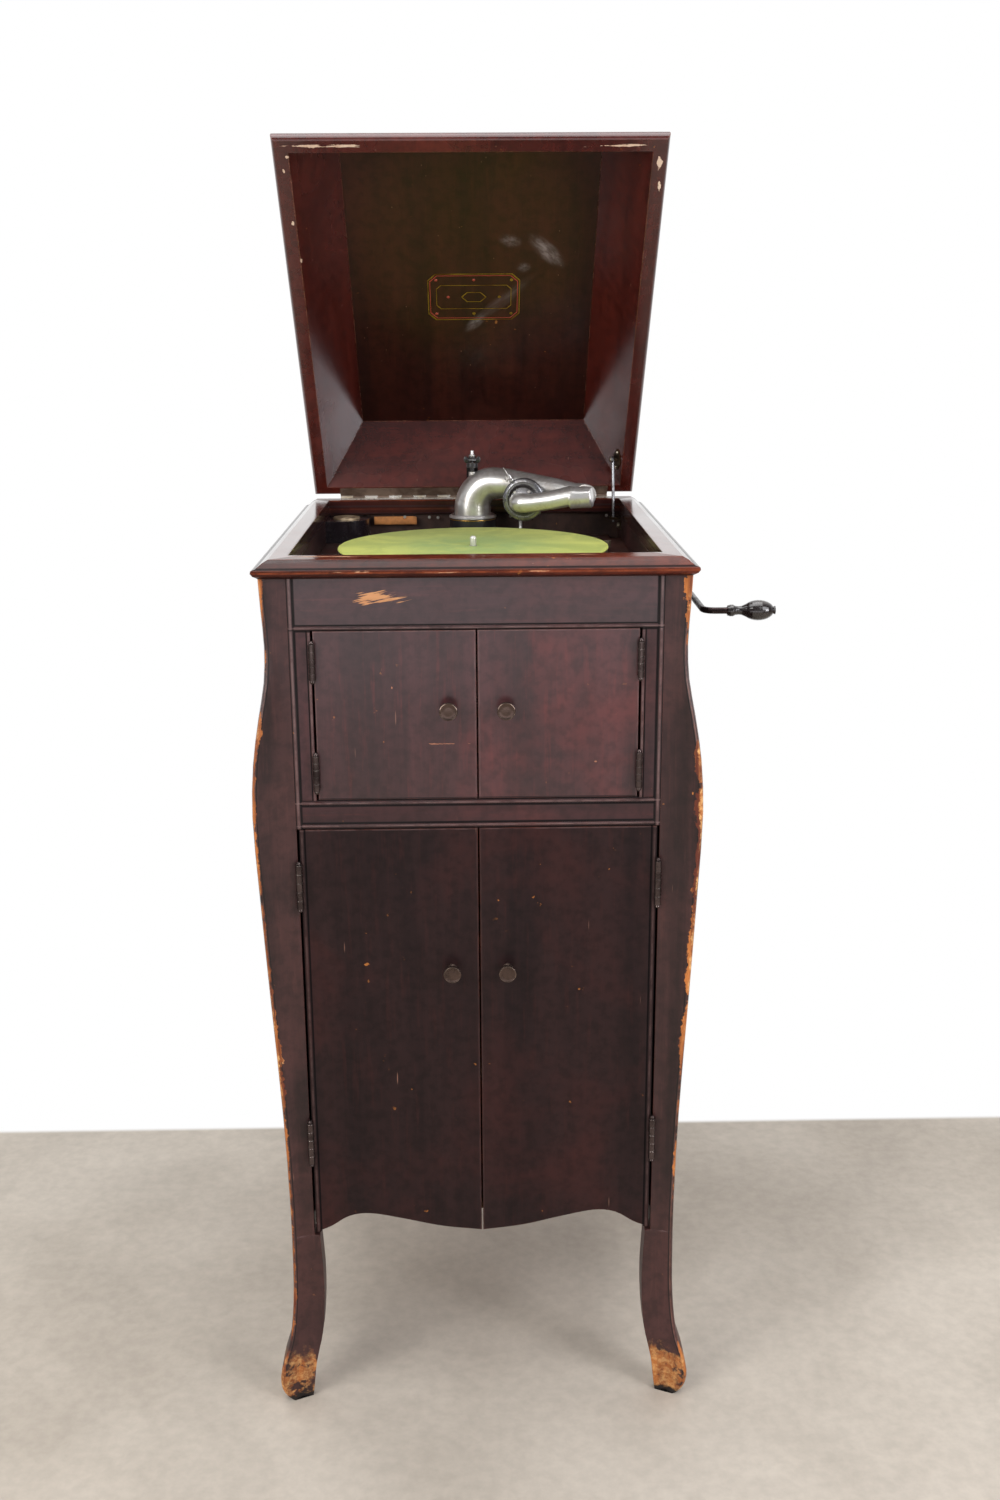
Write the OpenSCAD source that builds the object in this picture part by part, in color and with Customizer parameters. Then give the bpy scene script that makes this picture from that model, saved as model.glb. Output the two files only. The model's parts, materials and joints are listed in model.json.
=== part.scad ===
// Floor-standing gramophone with its machine in the top of the cabinet, lid open.
// Cabinet measures run from the front edge of the top (y = 0), the middle of the front
// (x = 0) and the floor (z = 0). in_frame() then moves everything so that the middle of
// the whole machine stands over the origin. Millimetres, +Z up, +X to the crank.

/* [Cabinet] */
// Height of the top frame's flat above the floor
top_z = 947.5; // [900:1:1000]
// Thickness of the top frame
top_t = 17.5; // [14:0.5:22]
// Clear width of the front between the posts
front_w = 368; // [340:1:400]
// Depth from the front face to the back face
case_d = 501; // [470:1:540]
// Width of a post before it bulges
post_w = 21; // [18:0.5:26]
// Setback of the front face behind the edge of the top
face_y = 14; // [10:0.5:20]
// Step of a post in front of the front face
post_step = 4; // [3:0.5:6]
// Overhang of the top's lip beyond the posts
lip_over = 11; // [8:0.5:16]
// Width of the top's moulding, from lip to flat
moulding_w = 15.7; // [12:0.1:20]
// Width of the top frame's front rail
rail_front_w = 41.8; // [34:0.2:48]
// Thickness of the front boards and the doors
board_t = 18; // [15:0.5:20]
// Thickness of the side panels
side_t = 17; // [12:0.5:17]
// Thickness of the back panel
back_t = 8; // [5:0.5:12]
// Thickness of the inner boards
shelf_t = 12; // [8:0.5:16]

/* [Legs] */
// Width of a leg just below the doors
leg_w = 27; // [22:0.5:30]
// Height of the leg's shoulder under the doors
shoulder_z = 205; // [185:1:215]
// Radius of a post's outer corner
corner_r = 4; // [2:0.5:5]
// Share of the forward bulge that the back posts have
back_bulge = 0.25; // [0:0.05:0.5]

/* [Front] */
// Height of the top front panel
panel_h = 48; // [40:1:56]
// Height of the beads across the front
bead_h = 4; // [3:0.5:5]
// Width of the upright bead strips
bead_w = 5.6; // [4:0.2:7]
// How far a bead stands out of the face
bead_out = 1; // [0.5:0.1:1.2]
// Height of the upper doors
upper_door_h = 174; // [160:1:190]
// Width of the stiles beside the upper doors
stile_w = 20; // [16:0.5:26]
// Height of the middle rail
middle_rail_h = 30; // [24:1:40]
// Height of the lower doors' lowest edge above the floor
door_low_z = 209; // [206:0.5:214]
// Rise of the lower doors' shaped bottom edge
door_rise = 22.5; // [10:0.5:26]
// Gap round a door
door_gap = 0.8; // [0.5:0.1:1.5]

/* [Door hinges and knobs] */
// Radius of a hinge barrel
barrel_r = 3.1; // [2.6:0.1:3.3]
// Thickness of a hinge leaf
leaf_t = 1; // [0.8:0.1:1.2]
// Length of an upper door's hinge
upper_hinge_l = 36; // [30:1:40]
// Length of a lower door's hinge
lower_hinge_l = 48; // [40:1:54]
// Radius of a knob
knob_r = 9.2; // [7:0.2:12]
// Length of a knob
knob_l = 17; // [14:0.5:22]
// Height of the upper knobs above their doors' lower edge
upper_knob_up = 94.7; // [80:0.1:110]
// Height of the lower knobs above their doors' lowest edge
lower_knob_up = 310; // [290:1:330]
// Distance of a knob from the middle of the front
knob_x = 28.5; // [22:0.5:34]

/* [Lid] */
// Length of the lid from the hinge side to the front
lid_l = 508.5; // [480:0.5:512]
// Reach of the lid's rounded band over the top's moulding
lid_over = 3.2; // [0:0.1:6]
// Depth of the lid's hollow
hollow_h = 72; // [60:1:80]
// Thickness of the lid's top board
lid_top_t = 12; // [8:0.5:16]
// Width of the lid's rim face
rim_w = 16.8; // [15:0.2:20]
// Lean of the lid's sides, from rim to top board
flare = 46; // [40:1:48]
// Height of the rounded band round the lid's rim
band_h = 12; // [9:0.5:14]
// Angle at which the lid stands open
open_angle = 51.3; // [40:0.1:60]
// Length of the long lid hinge
lid_hinge_l = 341; // [300:1:360]
// Radius of the lid hinge's barrel
lid_barrel_r = 2.4; // [2:0.1:2.8]

/* [Machine] */
// Sideways place of the turntable and the tone arm
machine_x = -2; // [-6:0.5:6]
// Distance of the turntable's middle behind the edge of the top
turntable_y = 271.5; // [262:0.5:274]
// Radius of the turntable
turntable_r = 152.5; // [140:0.5:155]
// Height of the felt's upper face above the floor
felt_z = 922.3; // [920:0.1:924]
// Thickness of the felt
felt_t = 1.5; // [1:0.1:2.5]
// Depth of the turntable's rim
turntable_h = 17; // [12:0.5:18]
// Height of the motor board's upper face
deck_z = 901; // [898:0.5:902]
// Radius of the spindle's record pin
pin_r = 3.6; // [3.5:0.05:3.65]
// Height of the record pin above the felt
pin_h = 10.5; // [8:0.5:12]
// Radius of the machine's shafts
shaft_r = 4; // [3.8:0.1:5]
// Distance of the tone arm's pivot behind the edge of the top
arm_y = 460; // [457:0.5:463]

/* [Tone arm] */
// Outer radius of the tone arm's base
arm_base_r = 29.5; // [27:0.5:30]
// Radius of the arm's upright tube
arm_r = 23; // [20:0.5:24]
// Radius of the arm's small end
arm_end_r = 11.5; // [10:0.5:13]
// Distance from the pivot to the neck's joint
arm_l = 147; // [140:1:150]
// Bend radius of the arm's elbow
elbow_r = 30; // [28:0.5:33]
// Height of the arm's upper tube at the elbow
arm_z = 973; // [970:0.5:976]
// Height of the neck's joint
joint_z = 963; // [960:0.5:966]
// Direction of the arm, turned from straight right
arm_angle = -15; // [-20:0.5:-12]
// Radius of the neck's tube
neck_r = 10; // [9:0.5:11]
// Distance of the sound box from the neck's joint
neck_l = 76; // [66:0.5:80]
// Radius of the sound box
box_r = 26; // [24:0.5:28]
// Thickness of the sound box
box_t = 11; // [9:0.5:12]
// Length of a needle outside its clamp
needle_l = 12; // [10:0.5:14]

/* [Motor and crank] */
// Distance of the crank's axis behind the edge of the top
crank_y = 262; // [255:0.5:270]
// Height of the crank's axis
crank_z = 868; // [866:0.5:870]
// Sideways place of the spring barrel
drum_x = 72; // [68:0.5:76]
// Radius of the spring barrel
drum_r = 42; // [36:0.5:44]
// Length of the crank's arm
crank_arm = 112; // [90:1:125]
// Radius of the crank's rod
rod_r = 3.5; // [3:0.1:4]
// Distance of the crank's arm from the middle of the front
crank_arm_x = 243; // [238:0.5:250]
// Length of the crank's handle
handle_l = 52; // [45:0.5:60]
// Radius of the handle's bulb
handle_r = 10.9; // [9:0.1:13]

/* [Horn] */
// Height of the horn's mouth
mouth_h = 150; // [130:1:155]
// Thickness of the horn's walls
horn_t = 6; // [4:0.5:8]
// Inner radius of the iron elbow behind the horn
pipe_r = 20; // [18:0.5:20.5]

/* [Hidden] */

$fn = 64;
hull_fn = 32;
tiny = 0.01;

// clearances
run_gap = 0.05;     // radial gap of a shaft in its bearing
play = 0.3;         // gap between moving faces
seat = 0.2;         // gap of a fitted board
hinge_gap = 0.3;    // gap between two hinge leaves

// cabinet
post_x = front_w / 2 + post_w;
post_y = face_y - post_step;
back_y = face_y + case_d;
side_x = post_x - post_step;
side_in = side_x - side_t;
case_top = top_z - top_t;
lip_x = post_x + lip_over;
lip_back = back_y + lip_over / 2;
open_x = side_in - play;
open_back = back_y - post_step - back_t - 5.6;
bead_x = front_w / 2 - bead_w;
panel_z = case_top - panel_h;
upper_top = panel_z - bead_h;
upper_low = upper_top - upper_door_h;
lower_top = upper_low - middle_rail_h;
stile_x = front_w / 2 - bead_w - stile_w + 4;
inner_y = face_y + board_t + 1;
back_in = back_y - post_step - back_t;
floor_z = door_low_z + door_rise + 4;

// outward curve of the posts: [height, sideways], for a post that is curve_top high
side_curve = [[0, 11], [7, 16.5], [20, 20.8], [38, 21], [58, 17], [75, 11.3], [96, 7.5],
    [125, 5], [160, 3.8], [240, 3.6], [352, 6.4], [487, 13], [612, 18.6], [690, 21.2],
    [745, 18], [790, 11], [827, 4.2], [862, 2.5], [900, 4.4], [930, 5.6]];
// forward curve of the posts: [height, forward]
front_curve = [[0, 6], [8, 9], [22, 14], [40, 18], [57, 17], [70, 14], [85, 10], [103, 6.5],
    [135, 3.6], [240, 2], [426, 4], [600, 8], [720, 10], [803, 6], [868, 1], [930, 2]];
// inner edge of a leg under the shoulder: [height, width of the leg inside its straight face]
leg_curve = [[0, 12], [11, 13.4], [43, 17.3], [64, 21.7], [84, 26], [124, 29], [165, 29],
    [205, 27]];
// shaped bottom edge of a lower door: [distance from the middle, share of the rise]
hem_curve = [[0, 0], [45, 0.25], [90, 0.72], [124, 1], [146, 0.85], [166, 0.3], [184, 0]];
curve_top = 930;
curve_leg = 205;
hem_half = 184;
toe_out = 21;
toe_front = 18;

// lid, measured closed from its hinge line
lid_leaf_t = 0.8;
lid_w = 2 * (lip_x - moulding_w + lid_over);
lid_gap = lid_barrel_r + play;     // from the hinge line to the wood on both sides
hinge_y = lip_back + lid_gap;
hinge_z = top_z + lid_leaf_t + 0.1;
rim_rise = lid_leaf_t + 0.1;
dome = lid_top_t + hollow_h;
knuckles = 22;
knuckle_l = lid_hinge_l / knuckles;
lid_pin_r = 1.1;

// outline of the lid's side: [inset, height above the rim plane]; a round band, a hollow
// and a swell that follow the leaning inner wall, and the rounded edge of the top board
lid_sweep = [[band_h + 0.5, 9], [band_h + 5, 15.5], [band_h + 15, flare * 0.53],
    [hollow_h * 0.58, flare * 0.75], [hollow_h * 0.8, flare * 0.97],
    [hollow_h, flare + 4.5], [hollow_h + 3, flare + 5.2]];
lid_outline = concat(
    [for (a = [-80:20:80]) [4 - 4 * cos(a), band_h / 2 * (1 + sin(a))]],
    [[7.5, band_h]],
    [for (h = [band_h + 0.5:5.4:hollow_h]) [curve(lid_sweep, h), h]],
    [[flare + 5.2, hollow_h + 2.6], [flare + 8, hollow_h + 3]],
    [for (a = [0:30:90]) [flare + 8 + (lid_top_t - 3) * (1 - cos(a)),
        hollow_h + 3 + (lid_top_t - 3) * sin(a)]]);

// stay of the lid: pivots as [y, z]
stay_l = 53;                       // pivot's distance from the hinge along the lid
stay_h = 9.9;                      // pivot's height over the hinge line, lid closed
stay_wall = lid_w / 2 - rim_w - flare * (stay_h - rim_rise) / hollow_h;
stay_x = stay_wall - 5.6;          // middle of the rod
guide_y = hinge_y - 43.2;
guide_z = top_z - 22.5;

// machine
spindle_x = machine_x;
felt_top = felt_z;
plate_z = felt_z - felt_t;
pin_top = felt_z + pin_h;
motor_top = deck_z - shelf_t;
motor_low = motor_top - 73;
plate_t = 4;
drum_y = crank_y;
tooth = 1;                         // gear module
barrel_teeth = 92;
small_teeth = 18;
wheel_teeth = 60;
spindle_teeth = 16;
worm_teeth = 36;
barrel_pitch = tooth * barrel_teeth / 2;
small_pitch = tooth * small_teeth / 2;
wheel_pitch = tooth * wheel_teeth / 2;
spindle_pitch = tooth * spindle_teeth / 2;
worm_pitch = tooth * worm_teeth / 2;
worm_r = 5;
// the intermediate shaft stands where both its gears mesh
train_a = barrel_pitch + small_pitch;
train_b = wheel_pitch + spindle_pitch;
to_spindle = [spindle_x - drum_x, turntable_y - drum_y];
train_d = norm(to_spindle);
train_s = (train_a * train_a - train_b * train_b + train_d * train_d) / (2 * train_d);
train_h = sqrt(train_a * train_a - train_s * train_s);
along = to_spindle / train_d;
mid_gear = [drum_x, drum_y] + along * train_s + [along[1], -along[0]] * -train_h;
drum_dir = atan2(mid_gear[1] - drum_y, mid_gear[0] - drum_x);
wheel_dir = atan2(turntable_y - mid_gear[1], spindle_x - mid_gear[0]);
governor_y = turntable_y + worm_pitch + tooth + worm_r + play;
governor_z = motor_low + plate_t + 16;

// crank
handle_y = crank_y - crank_arm;
bend_r = 12;
handle_x = crank_arm_x + 25;
crank_end = handle_x + handle_l;
hub_x = side_x + 10;

// horn
mouth_w = 300;
mouth_y = 56;
mouth_low = upper_low - middle_rail_h + shelf_t + 12;
throat = 50;
throat_y = arm_y - 65;
pipe_bend = 65;
pipe_t = 5;

// middle of the whole machine over the origin
lid_back = max([for (p = lid_outline)
    hinge_y - (p[0] + lid_gap) * cos(open_angle) + (p[1] + rim_rise) * sin(open_angle)]);
frame_x = (crank_end - post_x - toe_out) / 2;
frame_y = (lid_back - (toe_front - post_y)) / 2;

// colours
dark_wood = [0.20, 0.11, 0.10];
red_wood = [0.33, 0.13, 0.10];
raw_wood = [0.62, 0.45, 0.28];
nickel = [0.76, 0.74, 0.69];
old_brass = [0.42, 0.36, 0.28];
black_iron = [0.10, 0.10, 0.11];
steel = [0.62, 0.63, 0.65];
felt_green = [0.66, 0.72, 0.32];

// ---- helpers ----

module in_frame() {
    translate([-frame_x, -frame_y, 0])
        children();
}

module both_sides() {
    children();
    mirror([1, 0, 0]) children();
}

// box from its lowest to its highest corner
module block(low, high) {
    translate(low)
        cube(high - low);
}

// smooth curve through points [position, value]
function span(pts, z, i = 0) =
    i >= len(pts) - 2 || z <= pts[i + 1][0] ? i : span(pts, z, i + 1);
function slope(a, b) = (b[1] - a[1]) / (b[0] - a[0]);
function curve(pts, z) =
    let (i = span(pts, z),
         a = pts[max(i - 1, 0)], b = pts[i], c = pts[i + 1],
         d = pts[min(i + 2, len(pts) - 1)],
         w = c[0] - b[0], t = (z - b[0]) / w,
         m = slope(a, c) * w, n = slope(b, d) * w)
    (2 * t * t * t - 3 * t * t + 1) * b[1] + (t * t * t - 2 * t * t + t) * m
    + (3 * t * t - 2 * t * t * t) * c[1] + (t * t * t - t * t) * n;

// tube of changing radius along a path, as rings joined by triangles
function unit(v) = v / norm(v);
function heading(p, i) = unit(p[min(i + 1, len(p) - 1)] - p[max(i - 1, 0)]);
function side_ways(p, n0, i = 0, done = []) =
    i == len(p) ? done
    : let (t = heading(p, i), old = i == 0 ? n0 : done[i - 1])
      side_ways(p, n0, i + 1, concat(done, [unit(old - (old * t) * t)]));
module swept_tube(path, radii, sides, n0) {
    normals = side_ways(path, n0);
    last = len(path) - 1;
    points = [for (i = [0:last])
        let (t = heading(path, i), n = normals[i], b = cross(t, n))
        for (k = [0:sides - 1])
            path[i] + radii[i] * (cos(k * 360 / sides) * n + sin(k * 360 / sides) * b)];
    walls = [for (i = [0:last - 1]) for (k = [0:sides - 1])
        let (a = i * sides + k, b = i * sides + (k + 1) % sides)
        each [[a, a + sides, b + sides], [a, b + sides, b]]];
    first_cap = [for (k = [0:sides - 1]) k];
    last_cap = [for (k = [sides - 1:-1:0]) last * sides + k];
    polyhedron(points, concat([first_cap, last_cap], walls), convexity = 6);
}

// points of an arc in a plane, from angle a to angle b about a middle point
function arc(middle, u, v, r, a, b, n) =
    [for (i = [0:n]) let (t = a + (b - a) * i / n) middle + r * (cos(t) * u + sin(t) * v)];

// block with the same moulded outline on its four sides; side = [inset, height] points
module moulded_block(w, d, side, back_square) {
    n = len(side);
    across = concat([for (p = side) [w / 2 - p[0], p[1]]],
        [for (i = [n - 1:-1:0]) [side[i][0] - w / 2, side[i][1]]]);
    deep = concat([for (p = side) [back_square ? d : d - p[0], p[1]]],
        [for (i = [n - 1:-1:0]) [side[i][0], side[i][1]]]);
    intersection() {
        translate([0, d, 0])
            rotate([90, 0, 0])
                linear_extrude(d)
                    polygon(across);
        translate([-w / 2, 0, 0])
            rotate([90, 0, 90])
                linear_extrude(w)
                    polygon(deep);
    }
}

// spur gear lying in XY with a tooth towards +X
module spur_outline(teeth) {
    pitch = tooth * teeth / 2;
    step = 360 / teeth;
    polygon([for (i = [0:teeth - 1]) for (k = [[-0.31, -1.15], [-0.2, 0], [-0.1, 0.75],
        [0.1, 0.75], [0.2, 0], [0.31, -1.15]])
        let (a = step * (i + k[0]), r = pitch + tooth * k[1]) r * [cos(a), sin(a)]]);
}
module spur(teeth, h, turn) {
    rotate([0, 0, turn])
        linear_extrude(h)
            spur_outline(teeth);
}

// ---- cabinet ----

top_outline = [[7, 0], [2, 3.2], [0, 6.2], [0.4, 8.6], [2.6, 9.6], [4.5, 9.9],
    [6.5, 11.6], [10.5, 14.8], [moulding_w, top_t]];

module top_frame() color(red_wood) in_frame() {
    difference() {
        translate([0, 0, case_top])
            moulded_block(2 * lip_x, lip_back, top_outline, true);
        block([-open_x, rail_front_w, case_top - 1], [open_x, open_back, top_z + 1]);
    }
}

// one ring of a post: [outwards, forwards] of its corners, seen from its straight corner
function post_ring(z, forward) =
    let (k = z * curve_top / case_top,
         leg = z < shoulder_z,
         b = curve(side_curve, k),
         f = forward * curve(front_curve, k),
         w = leg ? leg_w / 27 * curve(leg_curve, z * curve_leg / shoulder_z) : post_w,
         s = post_step * min(1, forward + back_bulge),
         lift = leg ? 0.5 * max(0, f - 3) : 0,
         r = corner_r)
    [[-w, lift - s], [(b - w) / 2, lift * 0.6 - s * 0.75 + 0.3 * f], [b - r, f],
     [b - 0.3 * r, f - 0.3 * r], [b, f - r], [b, -w + (leg ? max(0, b - 4) * 0.4 : 0)],
     [-w, -w + (leg ? lift : 0)]];

post_heights = concat(
    [for (i = [0:len(side_curve) - 2])
        for (t = [0, 0.5])
            let (z = (side_curve[i][0] * (1 - t) + side_curve[i + 1][0] * t)
                * case_top / curve_top)
            if (abs(z - shoulder_z) > 3) z],
    [shoulder_z - 0.5, shoulder_z + 0.5, case_top]);

function ordered(v) = len(v) <= 1 ? v
    : let (p = v[floor(len(v) / 2)])
      concat(ordered([for (x = v) if (x < p) x]), [p], ordered([for (x = v) if (x > p) x]));

// a whole post with its leg and foot, for the front right corner
module post(forward) {
    heights = ordered(post_heights);
    n = len(post_ring(0, forward));
    last = len(heights) - 1;
    points = [for (z = heights) for (p = post_ring(z, forward))
        [post_x + p[0], post_y - p[1], z]];
    walls = [for (i = [0:last - 1]) for (k = [0:n - 1])
        let (a = i * n + k, b = i * n + (k + 1) % n)
        each [[a, a + n, b + n], [a, b + n, b]]];
    polyhedron(points, concat([[for (k = [0:n - 1]) k],
        [for (k = [n - 1:-1:0]) last * n + k]], walls), convexity = 6);
}

module back_post() {
    translate([0, post_y + back_y, 0])
        mirror([0, 1, 0])
            post(back_bulge);
}

module leg_front_right() color(dark_wood) in_frame() post(1);
module leg_front_left() color(dark_wood) in_frame() mirror([1, 0, 0]) post(1);
module leg_back_right() color(dark_wood) in_frame() back_post();
module leg_back_left() color(dark_wood) in_frame() mirror([1, 0, 0]) back_post();

post_back = post_y + post_w;        // inner edge of a front post, seen from the side
side_low = door_low_z;

module side_panel() {
    span_y = back_y - post_w - post_back;
    n = 24;
    hem = [for (i = [0:n]) let (t = i / n, c = abs(2 * t - 1) * hem_half)
        [post_back + t * span_y, side_low + door_rise * curve(hem_curve, c)]];
    translate([side_in, 0, 0])
        rotate([90, 0, 90])
            linear_extrude(side_t)
                polygon(concat(hem, [[back_y - post_w, case_top], [post_back, case_top]]));
}

module side_panel_left() color(dark_wood) in_frame() mirror([1, 0, 0]) side_panel();
module side_panel_right() color(dark_wood) in_frame()
    difference() {
        side_panel();
        translate([side_in - 1, crank_y, crank_z])
            rotate([0, 90, 0])
                cylinder(h = side_t + 2, r = shaft_r + 4);
    }

module back_panel() color(dark_wood) in_frame()
    block([-side_in, back_in, floor_z - shelf_t], [side_in, back_in + back_t, case_top]);

module top_front_panel() color(dark_wood) in_frame()
    block([-bead_x, face_y, panel_z], [bead_x, face_y + board_t, case_top]);

module front_stiles() color(dark_wood) in_frame()
    both_sides() {
        block([stile_x + 3, face_y, upper_low], [bead_x, face_y + board_t, upper_top]);
        block([stile_x, face_y - bead_out, upper_low],
            [stile_x + 3, face_y + board_t, upper_top]);
    }

module middle_rail() color(dark_wood) in_frame()
    block([-bead_x, face_y, lower_top], [bead_x, face_y + board_t, upper_low]);

// half-round bead strip of width w on the face, running along Z, and reaching into it
module bead_strip(w, l, depth) {
    r = w * w / (8 * bead_out) + bead_out / 2;
    linear_extrude(l) {
        intersection() {
            translate([0, r - bead_out])
                circle(r = r, $fn = 96);
            translate([-w / 2, -bead_out])
                square([w, bead_out]);
        }
        if (depth > 0)
            translate([-w / 2, -tiny])
                square([w, depth + tiny]);
    }
}

module front_beads() color(dark_wood) in_frame() {
    reach = bead_x + bead_w / 3;
    both_sides()
        translate([bead_x + bead_w / 2, face_y, lower_top])
            bead_strip(bead_w, case_top - lower_top, board_t);
    translate([-reach, face_y, upper_top + bead_h / 2])
        rotate([0, 90, 0])
            bead_strip(bead_h, 2 * reach, board_t);
    for (z = [upper_low - 3, lower_top + 3])
        translate([-reach, face_y, z])
            rotate([0, 90, 0])
                bead_strip(3, 2 * reach, 0);
}

module horn_floor() color(raw_wood) in_frame()
    block([-side_in, inner_y, mouth_low - shelf_t], [side_in, back_in, mouth_low]);

module bottom_board() color(raw_wood) in_frame()
    block([-side_in, inner_y, floor_z - shelf_t], [side_in, back_in, floor_z]);

shelf_step = (mouth_low - shelf_t - floor_z - 2 * shelf_t) / 3 + shelf_t;
module record_shelves() color(raw_wood) in_frame()
    for (i = [1, 2])
        translate([0, 0, floor_z - shelf_t + i * shelf_step])
            block([-side_in, inner_y + 10, 0], [side_in, back_in, shelf_t]);

module motor_board() color(red_wood) in_frame()
    difference() {
        block([-side_in, inner_y, motor_top], [side_in, back_in, deck_z]);
        translate([spindle_x, turntable_y, motor_top - 1])
            cylinder(h = shelf_t + 2, r = shaft_r + 3);
        translate([machine_x, arm_y, motor_top - 1])
            cylinder(h = shelf_t + 2, r = pipe_r);
        block([stay_x - 5, guide_y - 8, motor_top - 1], [side_in + 1, back_in + 1, deck_z + 1]);
    }

// ---- horn ----

module horn_shell(grow, y0, y1) {
    hull() {
        block([-mouth_w / 2 - grow, y0, mouth_low + horn_t - grow],
            [mouth_w / 2 + grow, y0 + 1, mouth_low + mouth_h + grow]);
        block([machine_x - throat / 2 - grow, y1 - 1, mouth_low + horn_t - grow],
            [machine_x + throat / 2 + grow, y1, mouth_low + horn_t + throat + grow]);
    }
}

module sound_horn() color(raw_wood) in_frame()
    difference() {
        horn_shell(horn_t, mouth_y, throat_y);
        horn_shell(0, mouth_y - tiny, throat_y + tiny);
    }

module horn_slats() color(dark_wood) in_frame()
    for (i = [0:2])
        translate([0, mouth_y - 14, mouth_low + (i + 1) * mouth_h / 4])
            rotate([28, 0, 0])
                block([-bead_x, -9, -3], [bead_x, 9, 3]);

pipe_z = mouth_low + horn_t + throat / 2;
module horn_elbow() color(black_iron) in_frame()
    translate([machine_x, throat_y, pipe_z]) {
        translate([0, 0, pipe_bend])
            rotate([90, 0, 0])
                rotate([0, 90, 0])
                    rotate([0, 0, -90])
                        rotate_extrude(angle = 90)
                            translate([pipe_bend, 0])
                                difference() {
                                    circle(r = pipe_r + pipe_t);
                                    circle(r = pipe_r);
                                }
        translate([0, pipe_bend, pipe_bend])
            difference() {
                cylinder(h = motor_top - pipe_z - pipe_bend, r = pipe_r + pipe_t);
                translate([0, 0, -1])
                    cylinder(h = motor_top - pipe_z - pipe_bend + 2, r = pipe_r);
            }
        rotate([-90, 0, 0])
            difference() {
                cylinder(h = 4, r = pipe_r + pipe_t + 5);
                translate([0, 0, -1])
                    cylinder(h = 6, r = pipe_r);
            }
    }

// ---- turntable and motor ----

module turntable() color(nickel) in_frame()
    translate([spindle_x, turntable_y, plate_z])
        rotate_extrude($fn = 128)
            polygon([[shaft_r, 0], [turntable_r - 0.5, 0], [turntable_r - 0.5, -turntable_h],
                [turntable_r - 3, -turntable_h], [turntable_r - 3.2, -3], [26, -3],
                [20, -11], [shaft_r, -11]]);

module turntable_felt() color(felt_green) in_frame()
    translate([spindle_x, turntable_y, plate_z])
        difference() {
            cylinder(h = felt_t, r = turntable_r, $fn = 128);
            translate([0, 0, -1])
                cylinder(h = felt_t + 2, r = shaft_r + 1);
        }

module spindle() color(steel) in_frame()
    translate([spindle_x, turntable_y, 0]) {
        rotate_extrude()
            polygon([[0, motor_low + plate_t + tiny], [shaft_r, motor_low + plate_t + tiny],
                [shaft_r, felt_top - 0.5], [pin_r, felt_top - 0.5], [pin_r, pin_top - 2.2],
                [pin_r - 1.4, pin_top], [0, pin_top]]);
        translate([0, 0, motor_top - 25])
            spur(spindle_teeth, 12, wheel_dir + 180 + 180 / spindle_teeth);
        translate([0, 0, governor_z - 3])
            spur(worm_teeth, 6, 0);
    }

module intermediate_gear() color(old_brass) in_frame()
    translate([mid_gear[0], mid_gear[1], 0]) {
        translate([0, 0, motor_top - 24])
            spur(wheel_teeth, 5, wheel_dir);
        translate([0, 0, motor_low + 30])
            spur(small_teeth, 22, drum_dir + 180 + 180 / small_teeth);
        translate([0, 0, motor_low + plate_t + play])
            cylinder(h = motor_top - motor_low - 2 * plate_t - 2 * play, r = shaft_r);
    }

module spring_barrel() color(steel) in_frame()
    translate([drum_x, drum_y, motor_low + plate_t + play]) {
        cylinder(h = 27, r = drum_r);
        translate([0, 0, 27])
            spur(barrel_teeth, 9, drum_dir);
        translate([0, 0, 36])
            cylinder(h = 5, r = 9);
    }

module governor() color(old_brass) in_frame()
    translate([spindle_x, governor_y, governor_z])
        rotate([0, 90, 0]) {
            translate([0, 0, -52])
                cylinder(h = 88, r = 2);
            translate([0, 0, -10])
                cylinder(h = 20, r = worm_r);
            translate([0, 0, -40])
                cylinder(h = 3, r = 14);
            for (a = [0:120:240])
                rotate([0, 0, a])
                    translate([8.5, 0, -26])
                        sphere(r = 4.5, $fn = 24);
            for (z = [-34, -19])
                translate([0, 0, z])
                    cylinder(h = 2.5, r = 10);
            for (a = [0:120:240])
                rotate([0, 0, a])
                    translate([7, -1.5, -34])
                        cube([2, 3, 17.5]);
        }

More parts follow.
